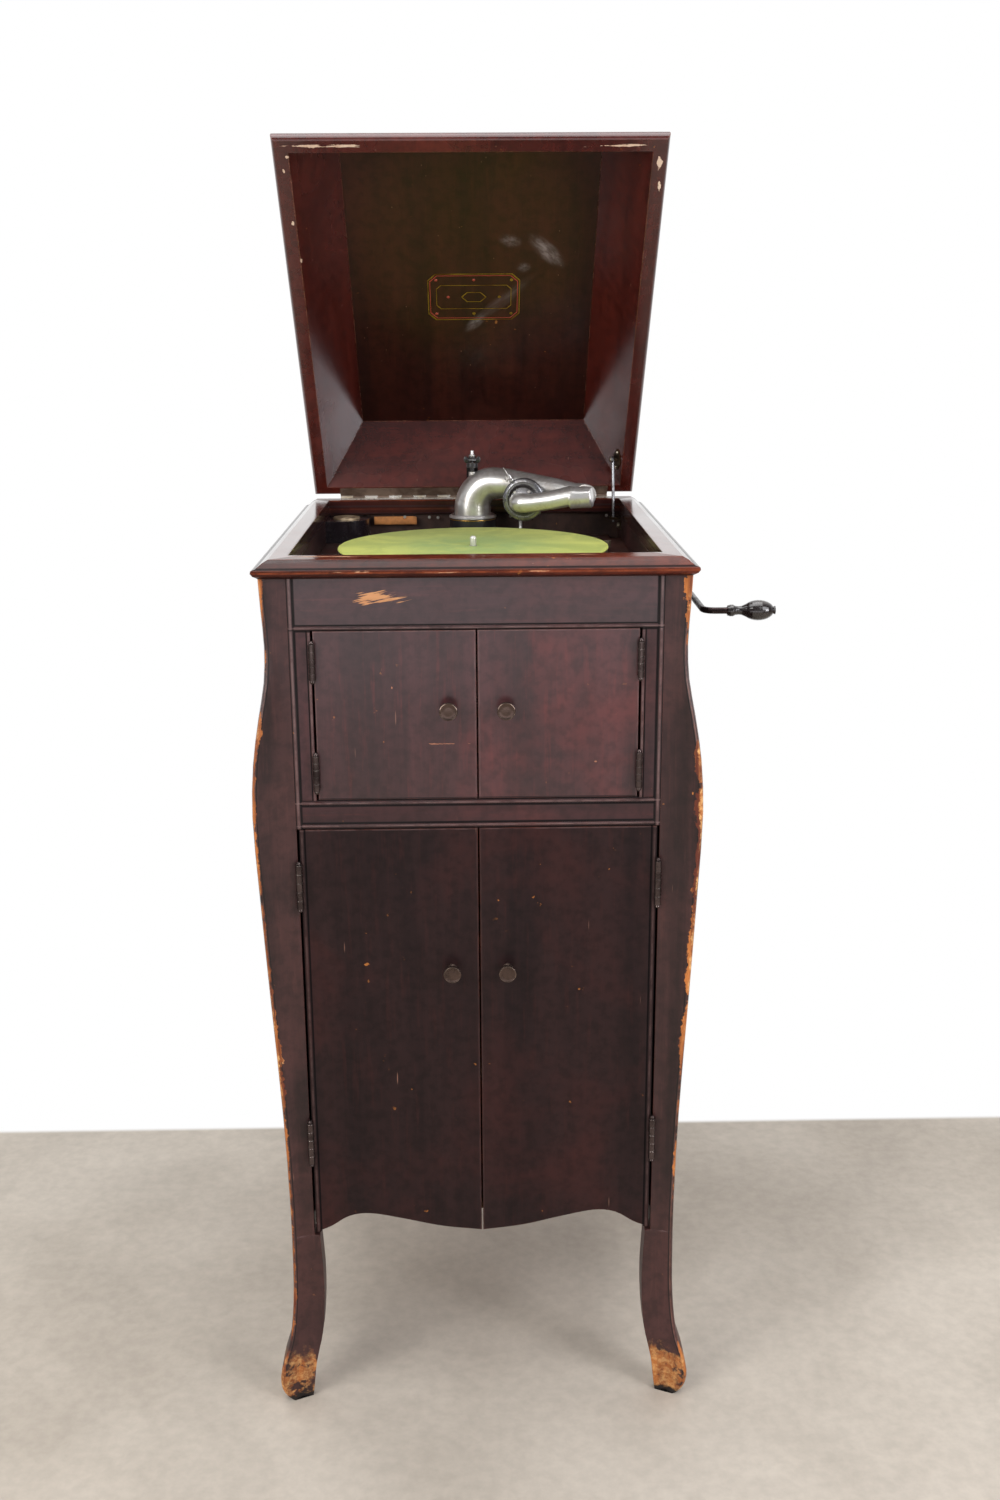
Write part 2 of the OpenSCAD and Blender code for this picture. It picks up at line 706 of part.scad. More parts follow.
module motor_frame() color(black_iron) in_frame()
    difference() {
        union() {
            for (z = [motor_low, motor_top - plate_t])
                translate([0, 0, z])
                    linear_extrude(plate_t)
                        hull() {
                            translate([spindle_x - 45, governor_y])
                                circle(r = 12, $fn = hull_fn);
                            translate([spindle_x - 30, turntable_y - 45])
                                circle(r = 12, $fn = hull_fn);
                            translate([drum_x + 38, drum_y - 34])
                                circle(r = 12, $fn = hull_fn);
                            translate([drum_x + 38, governor_y])
                                circle(r = 12, $fn = hull_fn);
                        }
            for (p = [[spindle_x - 45, governor_y + 4], [spindle_x - 32, turntable_y - 47],
                      [drum_x + 42, drum_y - 38], [drum_x + 42, governor_y + 4]])
                translate([p[0], p[1], motor_low + plate_t - tiny])
                    cylinder(h = motor_top - motor_low - 2 * plate_t + 2 * tiny, r = 4);
            // bearings of the governor
            for (x = [-54, 28])
                translate([spindle_x + x, governor_y - 5, motor_low + plate_t - tiny])
                    cube([6, 10, governor_z - motor_low + 3]);
            // inner bearing of the winding shaft
            block([drum_x + 40, crank_y - 7, crank_z - 7],
                [drum_x + 46, crank_y + 7, motor_top - plate_t + tiny]);
        }
        translate([spindle_x, turntable_y, motor_top - plate_t - 1])
            cylinder(h = plate_t + 2, r = shaft_r + run_gap);
        translate([drum_x, drum_y, motor_top - plate_t - 1])
            cylinder(h = plate_t + 2, r = 9);
        translate([spindle_x, governor_y, governor_z])
            rotate([0, 90, 0])
                translate([0, 0, -60])
                    cylinder(h = 100, r = 2 + run_gap);
        translate([drum_x + 30, crank_y, crank_z])
            rotate([0, 90, 0])
                cylinder(h = 30, r = shaft_r + run_gap);
    }

module winding_shaft() color(steel) in_frame()
    translate([0, crank_y, crank_z])
        rotate([0, 90, 0]) {
            translate([0, 0, drum_x + 12])
                cylinder(h = hub_x + 12 - drum_x - 12, r = shaft_r);
            translate([0, 0, drum_x + 12])
                cylinder(h = 8, r1 = 5.5, r2 = 8);
        }

module crank_escutcheon() color(nickel) in_frame()
    translate([side_x, crank_y, crank_z])
        rotate([0, 90, 0])
            difference() {
                cylinder(h = 4, r1 = 16, r2 = 13);
                translate([0, 0, -1])
                    cylinder(h = 6, r = shaft_r + run_gap);
            }

module crank() color(black_iron) in_frame() {
    corner_a = [crank_arm_x - bend_r, crank_y - bend_r, crank_z];
    corner_b = [crank_arm_x + bend_r, handle_y + bend_r, crank_z];
    path = concat([[hub_x + 10, crank_y, crank_z]],
        arc(corner_a, [1, 0, 0], [0, 1, 0], bend_r, 90, 0, 6),
        arc(corner_b, [1, 0, 0], [0, 1, 0], bend_r, 180, 270, 6),
        [[handle_x - 2, handle_y, crank_z]]);
    difference() {
        union() {
            swept_tube(path, [for (p = path) rod_r], 16, [0, 0, 1]);
            translate([hub_x, crank_y, crank_z])
                rotate([0, 90, 0])
                    cylinder(h = 18, r1 = 8, r2 = 6);
            translate([handle_x - 3, handle_y, crank_z])
                rotate([0, 90, 0])
                    cylinder(h = handle_l - 6, r = rod_r);
        }
        translate([hub_x - 1, crank_y, crank_z])
            rotate([0, 90, 0])
                cylinder(h = 13, r = shaft_r);
    }
}

module crank_handle() color(black_iron) in_frame()
    translate([handle_x, handle_y, crank_z])
        rotate([0, 90, 0])
            rotate_extrude()
                polygon(concat([[rod_r + run_gap, 0], [5.4, 0], [6.3, 3], [6.3, 6], [4.9, 8.5],
                    [4.5, 12], [4.8, 15]],
                    [for (a = [-50:12:70]) [handle_r * cos(a) * 0.98 + 0.2,
                        33 + 17 * sin(a)]],
                    [[handle_r * 0.33 + 1, handle_l - 1], [0, handle_l],
                    [0, handle_l - 7 + play], [rod_r + run_gap, handle_l - 7 + play]]));

// ---- tone arm ----

module at_arm() {
    translate([machine_x, arm_y, 0])
        rotate([0, 0, arm_angle])
            children();
}

module tonearm_base() color(black_iron) in_frame()
    translate([machine_x, arm_y, deck_z])
        difference() {
            union() {
                cylinder(h = 4, r = arm_base_r + 3);
                cylinder(h = 26, r = arm_base_r - 1);
            }
            translate([0, 0, -1])
                cylinder(h = 28, r = arm_r + run_gap);
        }

arm_bend = 18;      // bend radius at the arm's small end
pivot_z = arm_z + 13;
module tonearm_bracket() color(black_iron) in_frame()
    translate([machine_x, arm_y, 0]) {
        // foot and upright, lean over the elbow, and eye over the pivot
        hull() {
            block([-10, arm_r + 11, deck_z], [10, arm_r + 14, deck_z + 3]);
            block([-7, arm_r + 1.7, pivot_z - 18], [7, arm_r + 5.5, pivot_z - 14]);
        }
        hull() {
            block([-7, arm_r + 1.7, pivot_z - 18], [7, arm_r + 5.5, pivot_z - 14]);
            block([-7, 9.5, pivot_z + 4.5], [7, 12.5, pivot_z + 9]);
        }
        hull() {
            block([-7, 9.5, pivot_z + 4.5], [7, 12.5, pivot_z + 9]);
            translate([0, 0, pivot_z + 5])
                cylinder(h = 6, r = 7, $fn = hull_fn);
        }
        translate([0, 0, pivot_z + play])
            cylinder(h = 18, r = 2.5);
        translate([0, 0, pivot_z + 13])
            cylinder(h = 6, r = 4.5);
    }

module tonearm() color(nickel) in_frame() at_arm() {
    elbow_low = arm_z - elbow_r;
    out = [1, 0, 0];
    up = [0, 0, 1];
    path = concat([[0, 0, deck_z + 27.6], [0, 0, elbow_low - 6]],
        arc([elbow_r, 0, elbow_low], -out, up, elbow_r, 0, 84, 9),
        [[elbow_r + 14, 0, arm_z - 0.6], [arm_l - 40, 0, arm_z - 7]],
        arc([arm_l - arm_bend, -arm_bend, joint_z], [0, 1, 0], out, arm_bend, 0, 90, 6),
        [[arm_l, -arm_bend - 4, joint_z]]);
    n = len(path);
    radii = [for (i = [0:n - 1]) i < 3 ? arm_r - 0.6 : i < 12 ? arm_r - 0.6 - (i - 2) * 0.35
        : i == 12 ? 18.2 : i == 13 ? 13.5 : arm_end_r];
    swept_tube(path, radii, 28, [0, 1, 0]);
    // bearing tube in the base, with its lip ring
    translate([0, 0, deck_z + 0.5])
        difference() {
            cylinder(h = 30, r = arm_r);
            translate([0, 0, -1])
                cylinder(h = 27, r = arm_r - 2);
        }
    translate([0, 0, deck_z + 26 + play])
        cylinder(h = 3.4, r1 = arm_base_r, r2 = arm_base_r - 2.5);
    // seat of the upper pivot
    translate([0, 0, pivot_z - 6])
        cylinder(h = 6, r = 4.5);
}

neck_y = -arm_bend - 4 - play;      // start of the neck's collar, across the arm
neck_bend = 14;
leg_y = neck_y - 6 - neck_bend;     // the neck's straight leg
box_y = leg_y + neck_r + 1;         // back of the sound box
neck_past = 4;                      // reach of the neck's end past the box's middle
module gooseneck() color(nickel) in_frame() at_arm() {
    out = [1, 0, 0];
    side = [0, -1, 0];
    end_x = arm_l - neck_l - neck_past;
    path = concat([[arm_l, neck_y - 1, joint_z], [arm_l, neck_y - 5, joint_z]],
        arc([arm_l - neck_bend, neck_y - 6, joint_z], out, side, neck_bend, 0, 90, 6),
        [[arm_l - neck_bend - 24, leg_y, joint_z - 5], [end_x + 16, leg_y, joint_z - 9]],
        arc([end_x + 8, leg_y + 8, joint_z - 9], side, -out, 8, 0, 90, 5),
        [[end_x, box_y - play / 2, joint_z - 9]]);
    n = len(path);
    radii = [for (i = [0:n - 1]) i < 2 ? 11.6 : i < 9 ? 11.6 : i == 9 ? neck_r
        : i == 10 ? neck_r - 0.2 : i < n - 1 ? neck_r + 0.5 : neck_r - 1];
    swept_tube(path, radii, 24, [0, 0, 1]);
    translate([arm_l, neck_y, joint_z])
        rotate([90, 0, 0])
            cylinder(h = 4, r = 12.6);
}

// sound box, lying behind the neck's end: its middle and its turn
module at_box() {
    translate([arm_l - neck_l, box_y, joint_z - 7])
        rotate([-90, 0, 0])
            children();
}

module sound_box() color(steel) in_frame() at_arm() at_box()
    rotate_extrude()
        polygon([[0, 0], [9, 0], [12, 2], [box_r - 6, 2.5], [box_r - 1, 4], [box_r, 5],
            [box_r, box_t - 1], [box_r - 1.5, box_t], [box_r - 4, box_t],
            [box_r - 5, box_t - 3], [0, box_t - 3]]);

needle_turn = 125;      // direction of the needle, from straight along the arm
module needle_arm() color(nickel) in_frame() at_arm() at_box()
    rotate([0, 0, -needle_turn])
        translate([0, 0, box_t - 3]) {
            cylinder(h = 4, r = 2.2);
            block([0, -1.5, 3 + seat], [box_r + 2, 1.5, 5]);
            translate([box_r + 0.5, 0, 2])
                rotate([0, 90, 0])
                    cylinder(h = 8, r = 3);
            translate([box_r + 8, 0, 2])
                rotate([0, 90, 0])
                    cylinder(h = needle_l, r1 = 0.9, r2 = 0.3);
            translate([box_r + 4.5, 0, -7])
                cylinder(h = 9, r = 1.4);
            translate([box_r + 0.5, -0.8, -12])
                cube([8, 1.6, 5.5]);
        }

module needle_cup() color(black_iron) in_frame()
    difference() {
        union() {
            translate([-side_in, open_back - 24, deck_z])
                cube([52, 24 + (back_in - open_back), 27]);
            translate([-side_in, open_back - 54, deck_z])
                cube([24, 54, 27]);
            translate([-side_in + 24, open_back - 26, deck_z])
                intersection() {
                    cylinder(h = 27, r = 28);
                    translate([0, -30, 0])
                        cube([30, 30, 27]);
                }
        }
        translate([-side_in + 24, open_back - 24, deck_z + 13])
            cylinder(h = 20, r = 16);
    }

speed_x = 132;
speed_y = open_back - 40;
module speed_plate() color(nickel) in_frame()
    translate([speed_x, speed_y, deck_z])
        difference() {
            hull() {
                translate([-9, 0, 0])
                    cylinder(h = 2.5, r = 12, $fn = hull_fn);
                translate([9, 0, 0])
                    cylinder(h = 2.5, r = 12, $fn = hull_fn);
            }
            translate([0, 0, -1])
                cylinder(h = 5, r = 2.5 + run_gap);
        }

module speed_lever() color(nickel) in_frame()
    translate([speed_x, speed_y, deck_z]) {
        translate([0, 0, tiny])
            cylinder(h = 5, r = 2.5);
        translate([0, 0, 2.5 + play])
            hull() {
                cylinder(h = 2, r = 5, $fn = hull_fn);
                translate([-2, -22, 0])
                    cylinder(h = 2, r = 2, $fn = hull_fn);
            }
        translate([-2, -22, 2.5 + play])
            cylinder(h = 6, r = 3);
    }

brake_x = 148;
brake_y = 392;
module brake_lever() color(nickel) in_frame()
    translate([brake_x, brake_y, deck_z + play]) {
        cylinder(h = 8, r = 5);
        translate([0, 0, 4])
            hull() {
                cylinder(h = 3, r = 5, $fn = hull_fn);
                translate([-24, 4, 0])
                    cylinder(h = 3, r = 3, $fn = hull_fn);
            }
        translate([0, 0, 4])
            hull() {
                cylinder(h = 3, r = 5, $fn = hull_fn);
                translate([10, -30, 0])
                    cylinder(h = 3, r = 3, $fn = hull_fn);
            }
        translate([10, -30, 4])
            cylinder(h = 8, r = 4);
        translate([-24, 4, 1])
            cylinder(h = 12, r = 4);
    }

// ---- doors ----

upper_edge = stile_x - 2 * leaf_t - hinge_gap;
upper_pin = stile_x - leaf_t - hinge_gap / 2;
lower_edge = front_w / 2 - 2 * leaf_t - hinge_gap;
lower_pin = front_w / 2 - leaf_t - hinge_gap / 2;
pin_y = face_y - bead_out - barrel_r - 0.2;
upper_hinge_z = [upper_top - 31, upper_low + 29];
lower_hinge_z = [lower_top - 61, door_low_z + 111];

module upper_door() {
    translate([0, 0, upper_low + door_gap])
        block([door_gap, face_y, 0],
            [upper_edge, face_y + board_t, upper_door_h - 2 * door_gap]);
}
module upper_door_right() color(dark_wood) in_frame() upper_door();
module upper_door_left() color(dark_wood) in_frame() mirror([1, 0, 0]) upper_door();

module lower_door() {
    top = lower_top - door_gap;
    n = 30;
    translate([0, face_y + board_t, 0])
        rotate([90, 0, 0])
            linear_extrude(board_t)
                polygon(concat([[door_gap, top]], [for (i = [0:n])
                    let (x = door_gap + (lower_edge - door_gap) * i / n)
                    [x, door_low_z + door_rise * curve(hem_curve, x * hem_half / (front_w / 2))]],
                    [[lower_edge, top]]));
    translate([lower_edge - bead_w / 2, face_y, door_low_z + 1])
        bead_strip(bead_w, top - door_low_z - 1, 1);
}
module lower_door_right() color(dark_wood) in_frame() lower_door();
module lower_door_left() color(dark_wood) in_frame() mirror([1, 0, 0]) lower_door();

// five knuckles on a pin; the door's leaf has knuckles 1 and 3, the frame's the others
module knuckle_row(l, own) {
    step = l / 5;
    for (i = own)
        translate([0, 0, -l / 2 + i * step + 0.15])
            children();
}
leaf_back = board_t - 2;
module frame_leaf(l) {
    step = l / 5;
    knuckle_row(l, [0, 2, 4]) {
        cylinder(h = step - 0.3, r = barrel_r);
        block([hinge_gap / 2, 0, 0], [leaf_t + hinge_gap / 2, barrel_r + 1, step - 0.3]);
    }
    translate([0, 0, -l / 2])
        cylinder(h = l, r = 1.5);
    block([hinge_gap / 2, barrel_r + 0.4, -l / 2], [leaf_t + hinge_gap / 2, leaf_back, l / 2]);
    for (s = [-1, 1])
        translate([0, 0, s * (l / 2 + 1.2)])
            sphere(r = 2.4, $fn = 32);
}
module door_leaf(l) {
    step = l / 5;
    difference() {
        union() {
            knuckle_row(l, [1, 3]) {
                cylinder(h = step - 0.3, r = barrel_r);
                block([-leaf_t - hinge_gap / 2, 0, 0],
                    [-hinge_gap / 2, barrel_r + 1, step - 0.3]);
            }
            block([-leaf_t - hinge_gap / 2, barrel_r + 0.4, -l / 2],
                [-hinge_gap / 2, leaf_back, l / 2]);
        }
        translate([0, 0, -l / 2 - 1])
            cylinder(h = l + 2, r = 1.5 + run_gap);
    }
}
module upper_leaves() for (z = upper_hinge_z) translate([upper_pin, pin_y, z]) children();
module lower_leaves() for (z = lower_hinge_z) translate([lower_pin, pin_y, z]) children();

module door_hinge_frame_leaves() color(old_brass) in_frame()
    both_sides() {
        upper_leaves() frame_leaf(upper_hinge_l);
        lower_leaves() frame_leaf(lower_hinge_l);
    }
module upper_hinges_right() color(old_brass) in_frame()
    upper_leaves() door_leaf(upper_hinge_l);
module upper_hinges_left() color(old_brass) in_frame()
    mirror([1, 0, 0]) upper_leaves() door_leaf(upper_hinge_l);
module lower_hinges_right() color(old_brass) in_frame()
    lower_leaves() door_leaf(lower_hinge_l);
module lower_hinges_left() color(old_brass) in_frame()
    mirror([1, 0, 0]) lower_leaves() door_leaf(lower_hinge_l);

upper_knob_z = upper_low + upper_knob_up;
lower_knob_z = door_low_z + lower_knob_up;
module knob(x, z) {
    translate([x, face_y, z])
        rotate([90, 0, 0])
            rotate_extrude()
                polygon([[0, 0], [5.5, 0], [5.5, 1.2], [3.8, 3], [3.6, 8], [5, 10],
                    [knob_r - 1, 12], [knob_r, 13.5], [knob_r - 0.4, knob_l - 1.5],
                    [knob_r - 3, knob_l], [0, knob_l]]);
}
module knob_upper_right() color(old_brass) in_frame() knob(knob_x, upper_knob_z);
module knob_upper_left() color(old_brass) in_frame() knob(-knob_x, upper_knob_z);
module knob_lower_right() color(old_brass) in_frame() knob(knob_x, lower_knob_z);
module knob_lower_left() color(old_brass) in_frame() knob(-knob_x, lower_knob_z);

// ---- lid ----

// children are drawn as the lid lies closed, with the hinge line along X at the origin
// and the lid running to -Y, and stand open
module on_lid() {
    translate([0, hinge_y, hinge_z])
        rotate([-open_angle, 0, 0])
            children();
}

module lid_walls() color(red_wood) in_frame() on_lid()
    difference() {
        translate([0, -lid_l, rim_rise])
            intersection() {
                moulded_block(lid_w, lid_l - lid_gap, lid_outline, false);
                block([-lid_w, -1, 0], [lid_w, lid_l + 1, hollow_h]);
            }
        hull() {
            block([-lid_w / 2 + rim_w, -lid_l + rim_w, rim_rise - tiny],
                [lid_w / 2 - rim_w, -rim_w, rim_rise]);
            block([-lid_w / 2 + rim_w + flare, -lid_l + rim_w + flare,
                    rim_rise + hollow_h],
                [lid_w / 2 - rim_w - flare, -rim_w - flare,
                    rim_rise + hollow_h + tiny]);
        }
    }

module lid_top() color(red_wood) in_frame() on_lid()
    translate([0, -lid_l, rim_rise])
        intersection() {
            moulded_block(lid_w, lid_l - lid_gap, lid_outline, false);
            block([-lid_w, -1, hollow_h], [lid_w, lid_l + 1, dome + 1]);
        }

module lid_knuckles(first) {
    for (i = [first:2:knuckles - 1])
        translate([-lid_hinge_l / 2 + i * knuckle_l + 0.2, 0, 0])
            children();
}

module lid_hinge_frame_leaf() color(old_brass) in_frame()
    translate([0, hinge_y, hinge_z]) {
        lid_knuckles(0) {
            rotate([0, 90, 0])
                cylinder(h = knuckle_l - 0.4, r = lid_barrel_r, $fn = 24);
            block([0, -lid_barrel_r - 2, -lid_leaf_t - 0.1], [knuckle_l - 0.4, 0, -0.1]);
        }
        translate([-lid_hinge_l / 2, 0, 0])
            rotate([0, 90, 0])
                cylinder(h = lid_hinge_l, r = lid_pin_r, $fn = 24);
        block([-lid_hinge_l / 2, -15, -lid_leaf_t - 0.1],
            [lid_hinge_l / 2, -lid_barrel_r - 0.5, -0.1]);
    }

module lid_hinge_leaf() color(old_brass) in_frame() on_lid()
    difference() {
        union() {
            lid_knuckles(1) {
                rotate([0, 90, 0])
                    cylinder(h = knuckle_l - 0.4, r = lid_barrel_r, $fn = 24);
                block([0, -lid_barrel_r - 2, 0.1], [knuckle_l - 0.4, 0, lid_leaf_t + 0.1]);
            }
            block([-lid_hinge_l / 2, -15, 0.1],
                [lid_hinge_l / 2, -lid_barrel_r - 0.5, lid_leaf_t + 0.1]);
        }
        translate([-lid_hinge_l / 2 - 1, 0, 0])
            rotate([0, 90, 0])
                cylinder(h = lid_hinge_l + 2, r = lid_pin_r + run_gap, $fn = 24);
    }

// pivot of the stay on the lid, in the closed lid's own measures
module lid_stay_bracket() color(old_brass) in_frame() on_lid()
    difference() {
        translate([stay_wall, -stay_l, stay_h]) {
            rotate([0, -90 - atan(flare / hollow_h), 0])
                for (v = [0, -9])
                    translate([0, v, -tiny])
                        cylinder(h = 1.2, r = v == 0 ? 7 : 4.5);
            rotate([0, -90, 0]) {
                cylinder(h = stay_wall - stay_x + 4.5, r = 1.5);
                cylinder(h = stay_wall - stay_x - 2.5, r = 3);
                translate([0, 0, stay_wall - stay_x + 2.8])
                    cylinder(h = 1.5, r = 2.8);
            }
        }
        // what would reach into the wood
        translate([stay_wall, 0, stay_h])
            rotate([0, -90 - atan(flare / hollow_h), 0])
                block([-30, -lid_l, -20], [30, 0, 0]);
    }

// upper pivot as it stands open, and the stay's direction to its guide
stay_top = [hinge_y - stay_l * cos(open_angle) + stay_h * sin(open_angle),
    hinge_z + stay_l * sin(open_angle) + stay_h * cos(open_angle)];
stay_lean = atan2(stay_top[0] - guide_y, stay_top[1] - guide_z);
stay_reach = norm(stay_top - [guide_y, guide_z]) + 5;
module lid_stay() color(nickel) in_frame()
    translate([stay_x, stay_top[0], stay_top[1]])
        rotate([-stay_lean, 0, 0])
            difference() {
                union() {
                    translate([-2, 0, 0])
                        rotate([0, 90, 0])
                            cylinder(h = 2.4, r = 4.5);
                    translate([0, 0, -stay_reach])
                        cylinder(h = stay_reach, r = 1.9);
                }
                translate([-3, 0, 0])
                    rotate([0, 90, 0])
                        cylinder(h = 6, r = 1.5 + run_gap);
            }

module lid_stay_guide() color(old_brass) in_frame()
    difference() {
        union() {
            block([side_in - 1.5, guide_y - 9, guide_z - 14],
                [side_in, guide_y + 9, guide_z + 2.5]);
            block([stay_x - 5, guide_y - 8, guide_z - 1.5],
                [side_in - 1.5 + tiny, guide_y + 8, guide_z + 1.5]);
        }
        block([stay_x - 2.6, guide_y - 5.5, guide_z - 2], [stay_x + 2.6, guide_y + 5.5, guide_z + 2]);
    }

top_frame();
leg_front_left();
leg_front_right();
leg_back_left();
leg_back_right();
side_panel_left();
side_panel_right();
back_panel();
top_front_panel();
front_stiles();
middle_rail();
front_beads();
horn_floor();
bottom_board();
record_shelves();
motor_board();
sound_horn();
horn_slats();
horn_elbow();
tonearm_base();
tonearm_bracket();
needle_cup();
crank_escutcheon();
lid_hinge_frame_leaf();
door_hinge_frame_leaves();
lid_stay_guide();
motor_frame();
speed_plate();
lid_walls();
lid_top();
lid_hinge_leaf();
lid_stay_bracket();
lid_stay();
upper_door_left();
upper_door_right();
lower_door_left();
lower_door_right();
upper_hinges_left();
upper_hinges_right();
lower_hinges_left();
lower_hinges_right();
knob_upper_left();
knob_upper_right();
knob_lower_left();
knob_lower_right();
turntable();
turntable_felt();
spindle();
intermediate_gear();
spring_barrel();
governor();
winding_shaft();
crank();
crank_handle();
tonearm();
gooseneck();
sound_box();
needle_arm();
brake_lever();
speed_lever();
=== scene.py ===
"""Dressed model of a floor-standing gramophone in its cabinet, lid open, machine at rest."""

import json
import math

import bmesh
import bpy
from mathutils import Matrix, Vector

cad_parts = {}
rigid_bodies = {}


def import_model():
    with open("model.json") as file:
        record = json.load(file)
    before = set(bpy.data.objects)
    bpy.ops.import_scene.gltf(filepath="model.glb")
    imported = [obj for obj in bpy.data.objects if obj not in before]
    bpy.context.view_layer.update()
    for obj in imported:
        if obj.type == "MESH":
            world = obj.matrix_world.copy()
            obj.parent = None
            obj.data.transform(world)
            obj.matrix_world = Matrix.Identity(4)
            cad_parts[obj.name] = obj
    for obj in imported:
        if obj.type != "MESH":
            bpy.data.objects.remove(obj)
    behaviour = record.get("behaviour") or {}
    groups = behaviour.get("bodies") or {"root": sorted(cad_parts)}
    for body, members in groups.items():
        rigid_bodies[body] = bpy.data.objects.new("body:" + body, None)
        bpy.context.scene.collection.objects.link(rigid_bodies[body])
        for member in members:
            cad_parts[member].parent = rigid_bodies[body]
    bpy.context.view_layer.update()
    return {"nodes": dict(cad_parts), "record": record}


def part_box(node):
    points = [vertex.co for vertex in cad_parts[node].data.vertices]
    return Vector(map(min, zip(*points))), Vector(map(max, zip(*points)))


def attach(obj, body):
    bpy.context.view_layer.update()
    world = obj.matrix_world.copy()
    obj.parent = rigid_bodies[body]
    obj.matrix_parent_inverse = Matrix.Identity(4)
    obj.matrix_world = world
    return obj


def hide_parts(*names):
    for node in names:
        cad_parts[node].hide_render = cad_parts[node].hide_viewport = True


bpy.ops.object.select_all(action="SELECT")
bpy.ops.object.delete()
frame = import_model()
bpy.ops.object.select_all(action="DESELECT")
nodes = frame["nodes"]

# ---- measures ----

# The cabinet's own measures run in millimetres from the middle of the front, the front
# edge of the top and the floor. The spindle stands 2 mm left and 271.5 mm back.
SPINDLE = (-2.0, 271.5)
low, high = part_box("spindle")
ORIGIN = Vector(((low.x + high.x) / 2, (low.y + high.y) / 2, 0)) - Vector((*SPINDLE, 0)) / 1000
# the arm's pivot, which its own measures start from, and its swing forward
ARM_FOOT, ARM_TURN = (-2.0, 460.0), math.radians(-15)
# middle of the sound box's back, in the arm's measures
BOX_MIDDLE = (71.0, -31.3, 956.0)
# hinge line of the lid, its lean, and the heights of its rim and inner board when shut
HINGE_LINE, LID_LEAN = (523.2, 948.4), math.radians(-51.3)
LID_RIM, LID_BOARD = 0.9, 72.9
# top frame and the well inside it
TOP_HALF_WIDTH, TOP_DEPTH = 216, 520.5
WELL_HALF_WIDTH, WELL_FRONT, WELL_BACK, WELL_TOP = 184.5, 30, 498.2, 946.2
DECK = 901


def at(x, y, z):
    """A point in the cabinet's own millimetres, as a point of the frame."""
    return ORIGIN + Vector((x, y, z)) / 1000


def arm_way(x, y, z):
    """A direction in the arm's measures: x runs along it."""
    c, s = math.cos(ARM_TURN), math.sin(ARM_TURN)
    return Vector((x * c - y * s, x * s + y * c, z))


def arm_point(x, y, z):
    return at(*(arm_way(x, y, z) + Vector((*ARM_FOOT, 0))))


def box_way(x, y, z):
    """A direction in the sound box's measures: z runs from its back to its face."""
    return arm_way(x, z, -y)


def box_point(x, y, z):
    return arm_point(BOX_MIDDLE[0] + x, BOX_MIDDLE[1] + z, BOX_MIDDLE[2] - y)


def lid_way(x, l, h):
    """A direction in the closed lid's measures: l from its hinge to its front, h up."""
    c, s = math.cos(-LID_LEAN), math.sin(-LID_LEAN)
    return Vector((x, -l * c + h * s, l * s + h * c))


def lid_spot(x, l, h=LID_RIM):
    """A spot of the lid, on its rim unless h is given, in the cabinet's own millimetres."""
    return tuple(lid_way(x, l, h) + Vector((0, *HINGE_LINE)))


def lid_point(x, l, h):
    return at(*lid_spot(x, l, h))


# ---- camera ----

LENS, LONG_SIDE = 36.82, 36.0
EYE = (-3.7, -1458.8, 1175.1)
PITCH, YAW, ROLL = (math.radians(a) for a in (15.92, 1.01, -0.36))
forward = Vector(
    (math.sin(YAW) * math.cos(PITCH), math.cos(YAW) * math.cos(PITCH), -math.sin(PITCH))
)
level = Vector((math.cos(YAW), -math.sin(YAW), 0))
upright = level.cross(forward)
side = math.cos(ROLL) * level + math.sin(ROLL) * upright
upward = -math.sin(ROLL) * level + math.cos(ROLL) * upright
lens = bpy.data.cameras.new("studio_camera")
lens.lens, lens.sensor_width, lens.sensor_fit = LENS, LONG_SIDE, "AUTO"
lens.clip_start, lens.clip_end = 0.05, 60
camera = bpy.data.objects.new("studio_camera", lens)
bpy.context.collection.objects.link(camera)
pose = Matrix((side, upward, -forward)).transposed().to_4x4()
pose.translation = at(*EYE)
camera.matrix_world = pose
bpy.context.scene.camera = camera
bpy.context.scene.view_settings.view_transform = "Standard"

# ---- small tools for node trees ----


class Bench:
    """The node tree being built, which all the tools below add to."""

    tree = None


def tint(tone):
    """A colour as a screen shows it, 0 to 255, as the linear colour a shader takes."""
    tone = [v / 255 for v in tone]
    return (*[v / 12.92 if v <= 0.04045 else ((v + 0.055) / 1.055) ** 2.4 for v in tone], 1)


def feed(node, **sockets):
    """Fills or links a node's inputs, by their names or by i and their number. A colour of
    three numbers is one as a screen shows it."""
    for key, value in sockets.items():
        numbered = key[0] == "i" and key[1:].isdigit()
        socket = node.inputs[int(key[1:]) if numbered else key.replace("_", " ")]
        if isinstance(value, bpy.types.NodeSocket):
            Bench.tree.links.new(value, socket)
        elif socket.type == "RGBA" and len(value) == 3:
            socket.default_value = tint(value)
        else:
            socket.default_value = value
    return node


def put(kind, settings=None, **sockets):
    """Adds a shader node, sets its settings and feeds its inputs."""
    made = Bench.tree.nodes.new("ShaderNode" + kind)
    for key, value in (settings or {}).items():
        setattr(made, key, value)
    return feed(made, **sockets)


def calc(operation, a, b=0.0, clamp=False):
    return put("Math", {"operation": operation, "use_clamp": clamp}, i0=a, i1=b).outputs[0]


def times(a, b, clamp=False):
    return calc("MULTIPLY", a, b, clamp)


def plus(a, b, clamp=False):
    return calc("ADD", a, b, clamp)


def minus(a, b):
    return calc("SUBTRACT", a, b)


def greater(a, b):
    return calc("MAXIMUM", a, b)


def apart(a, b):
    """The distance between two values."""
    return calc("ABSOLUTE", minus(a, b))


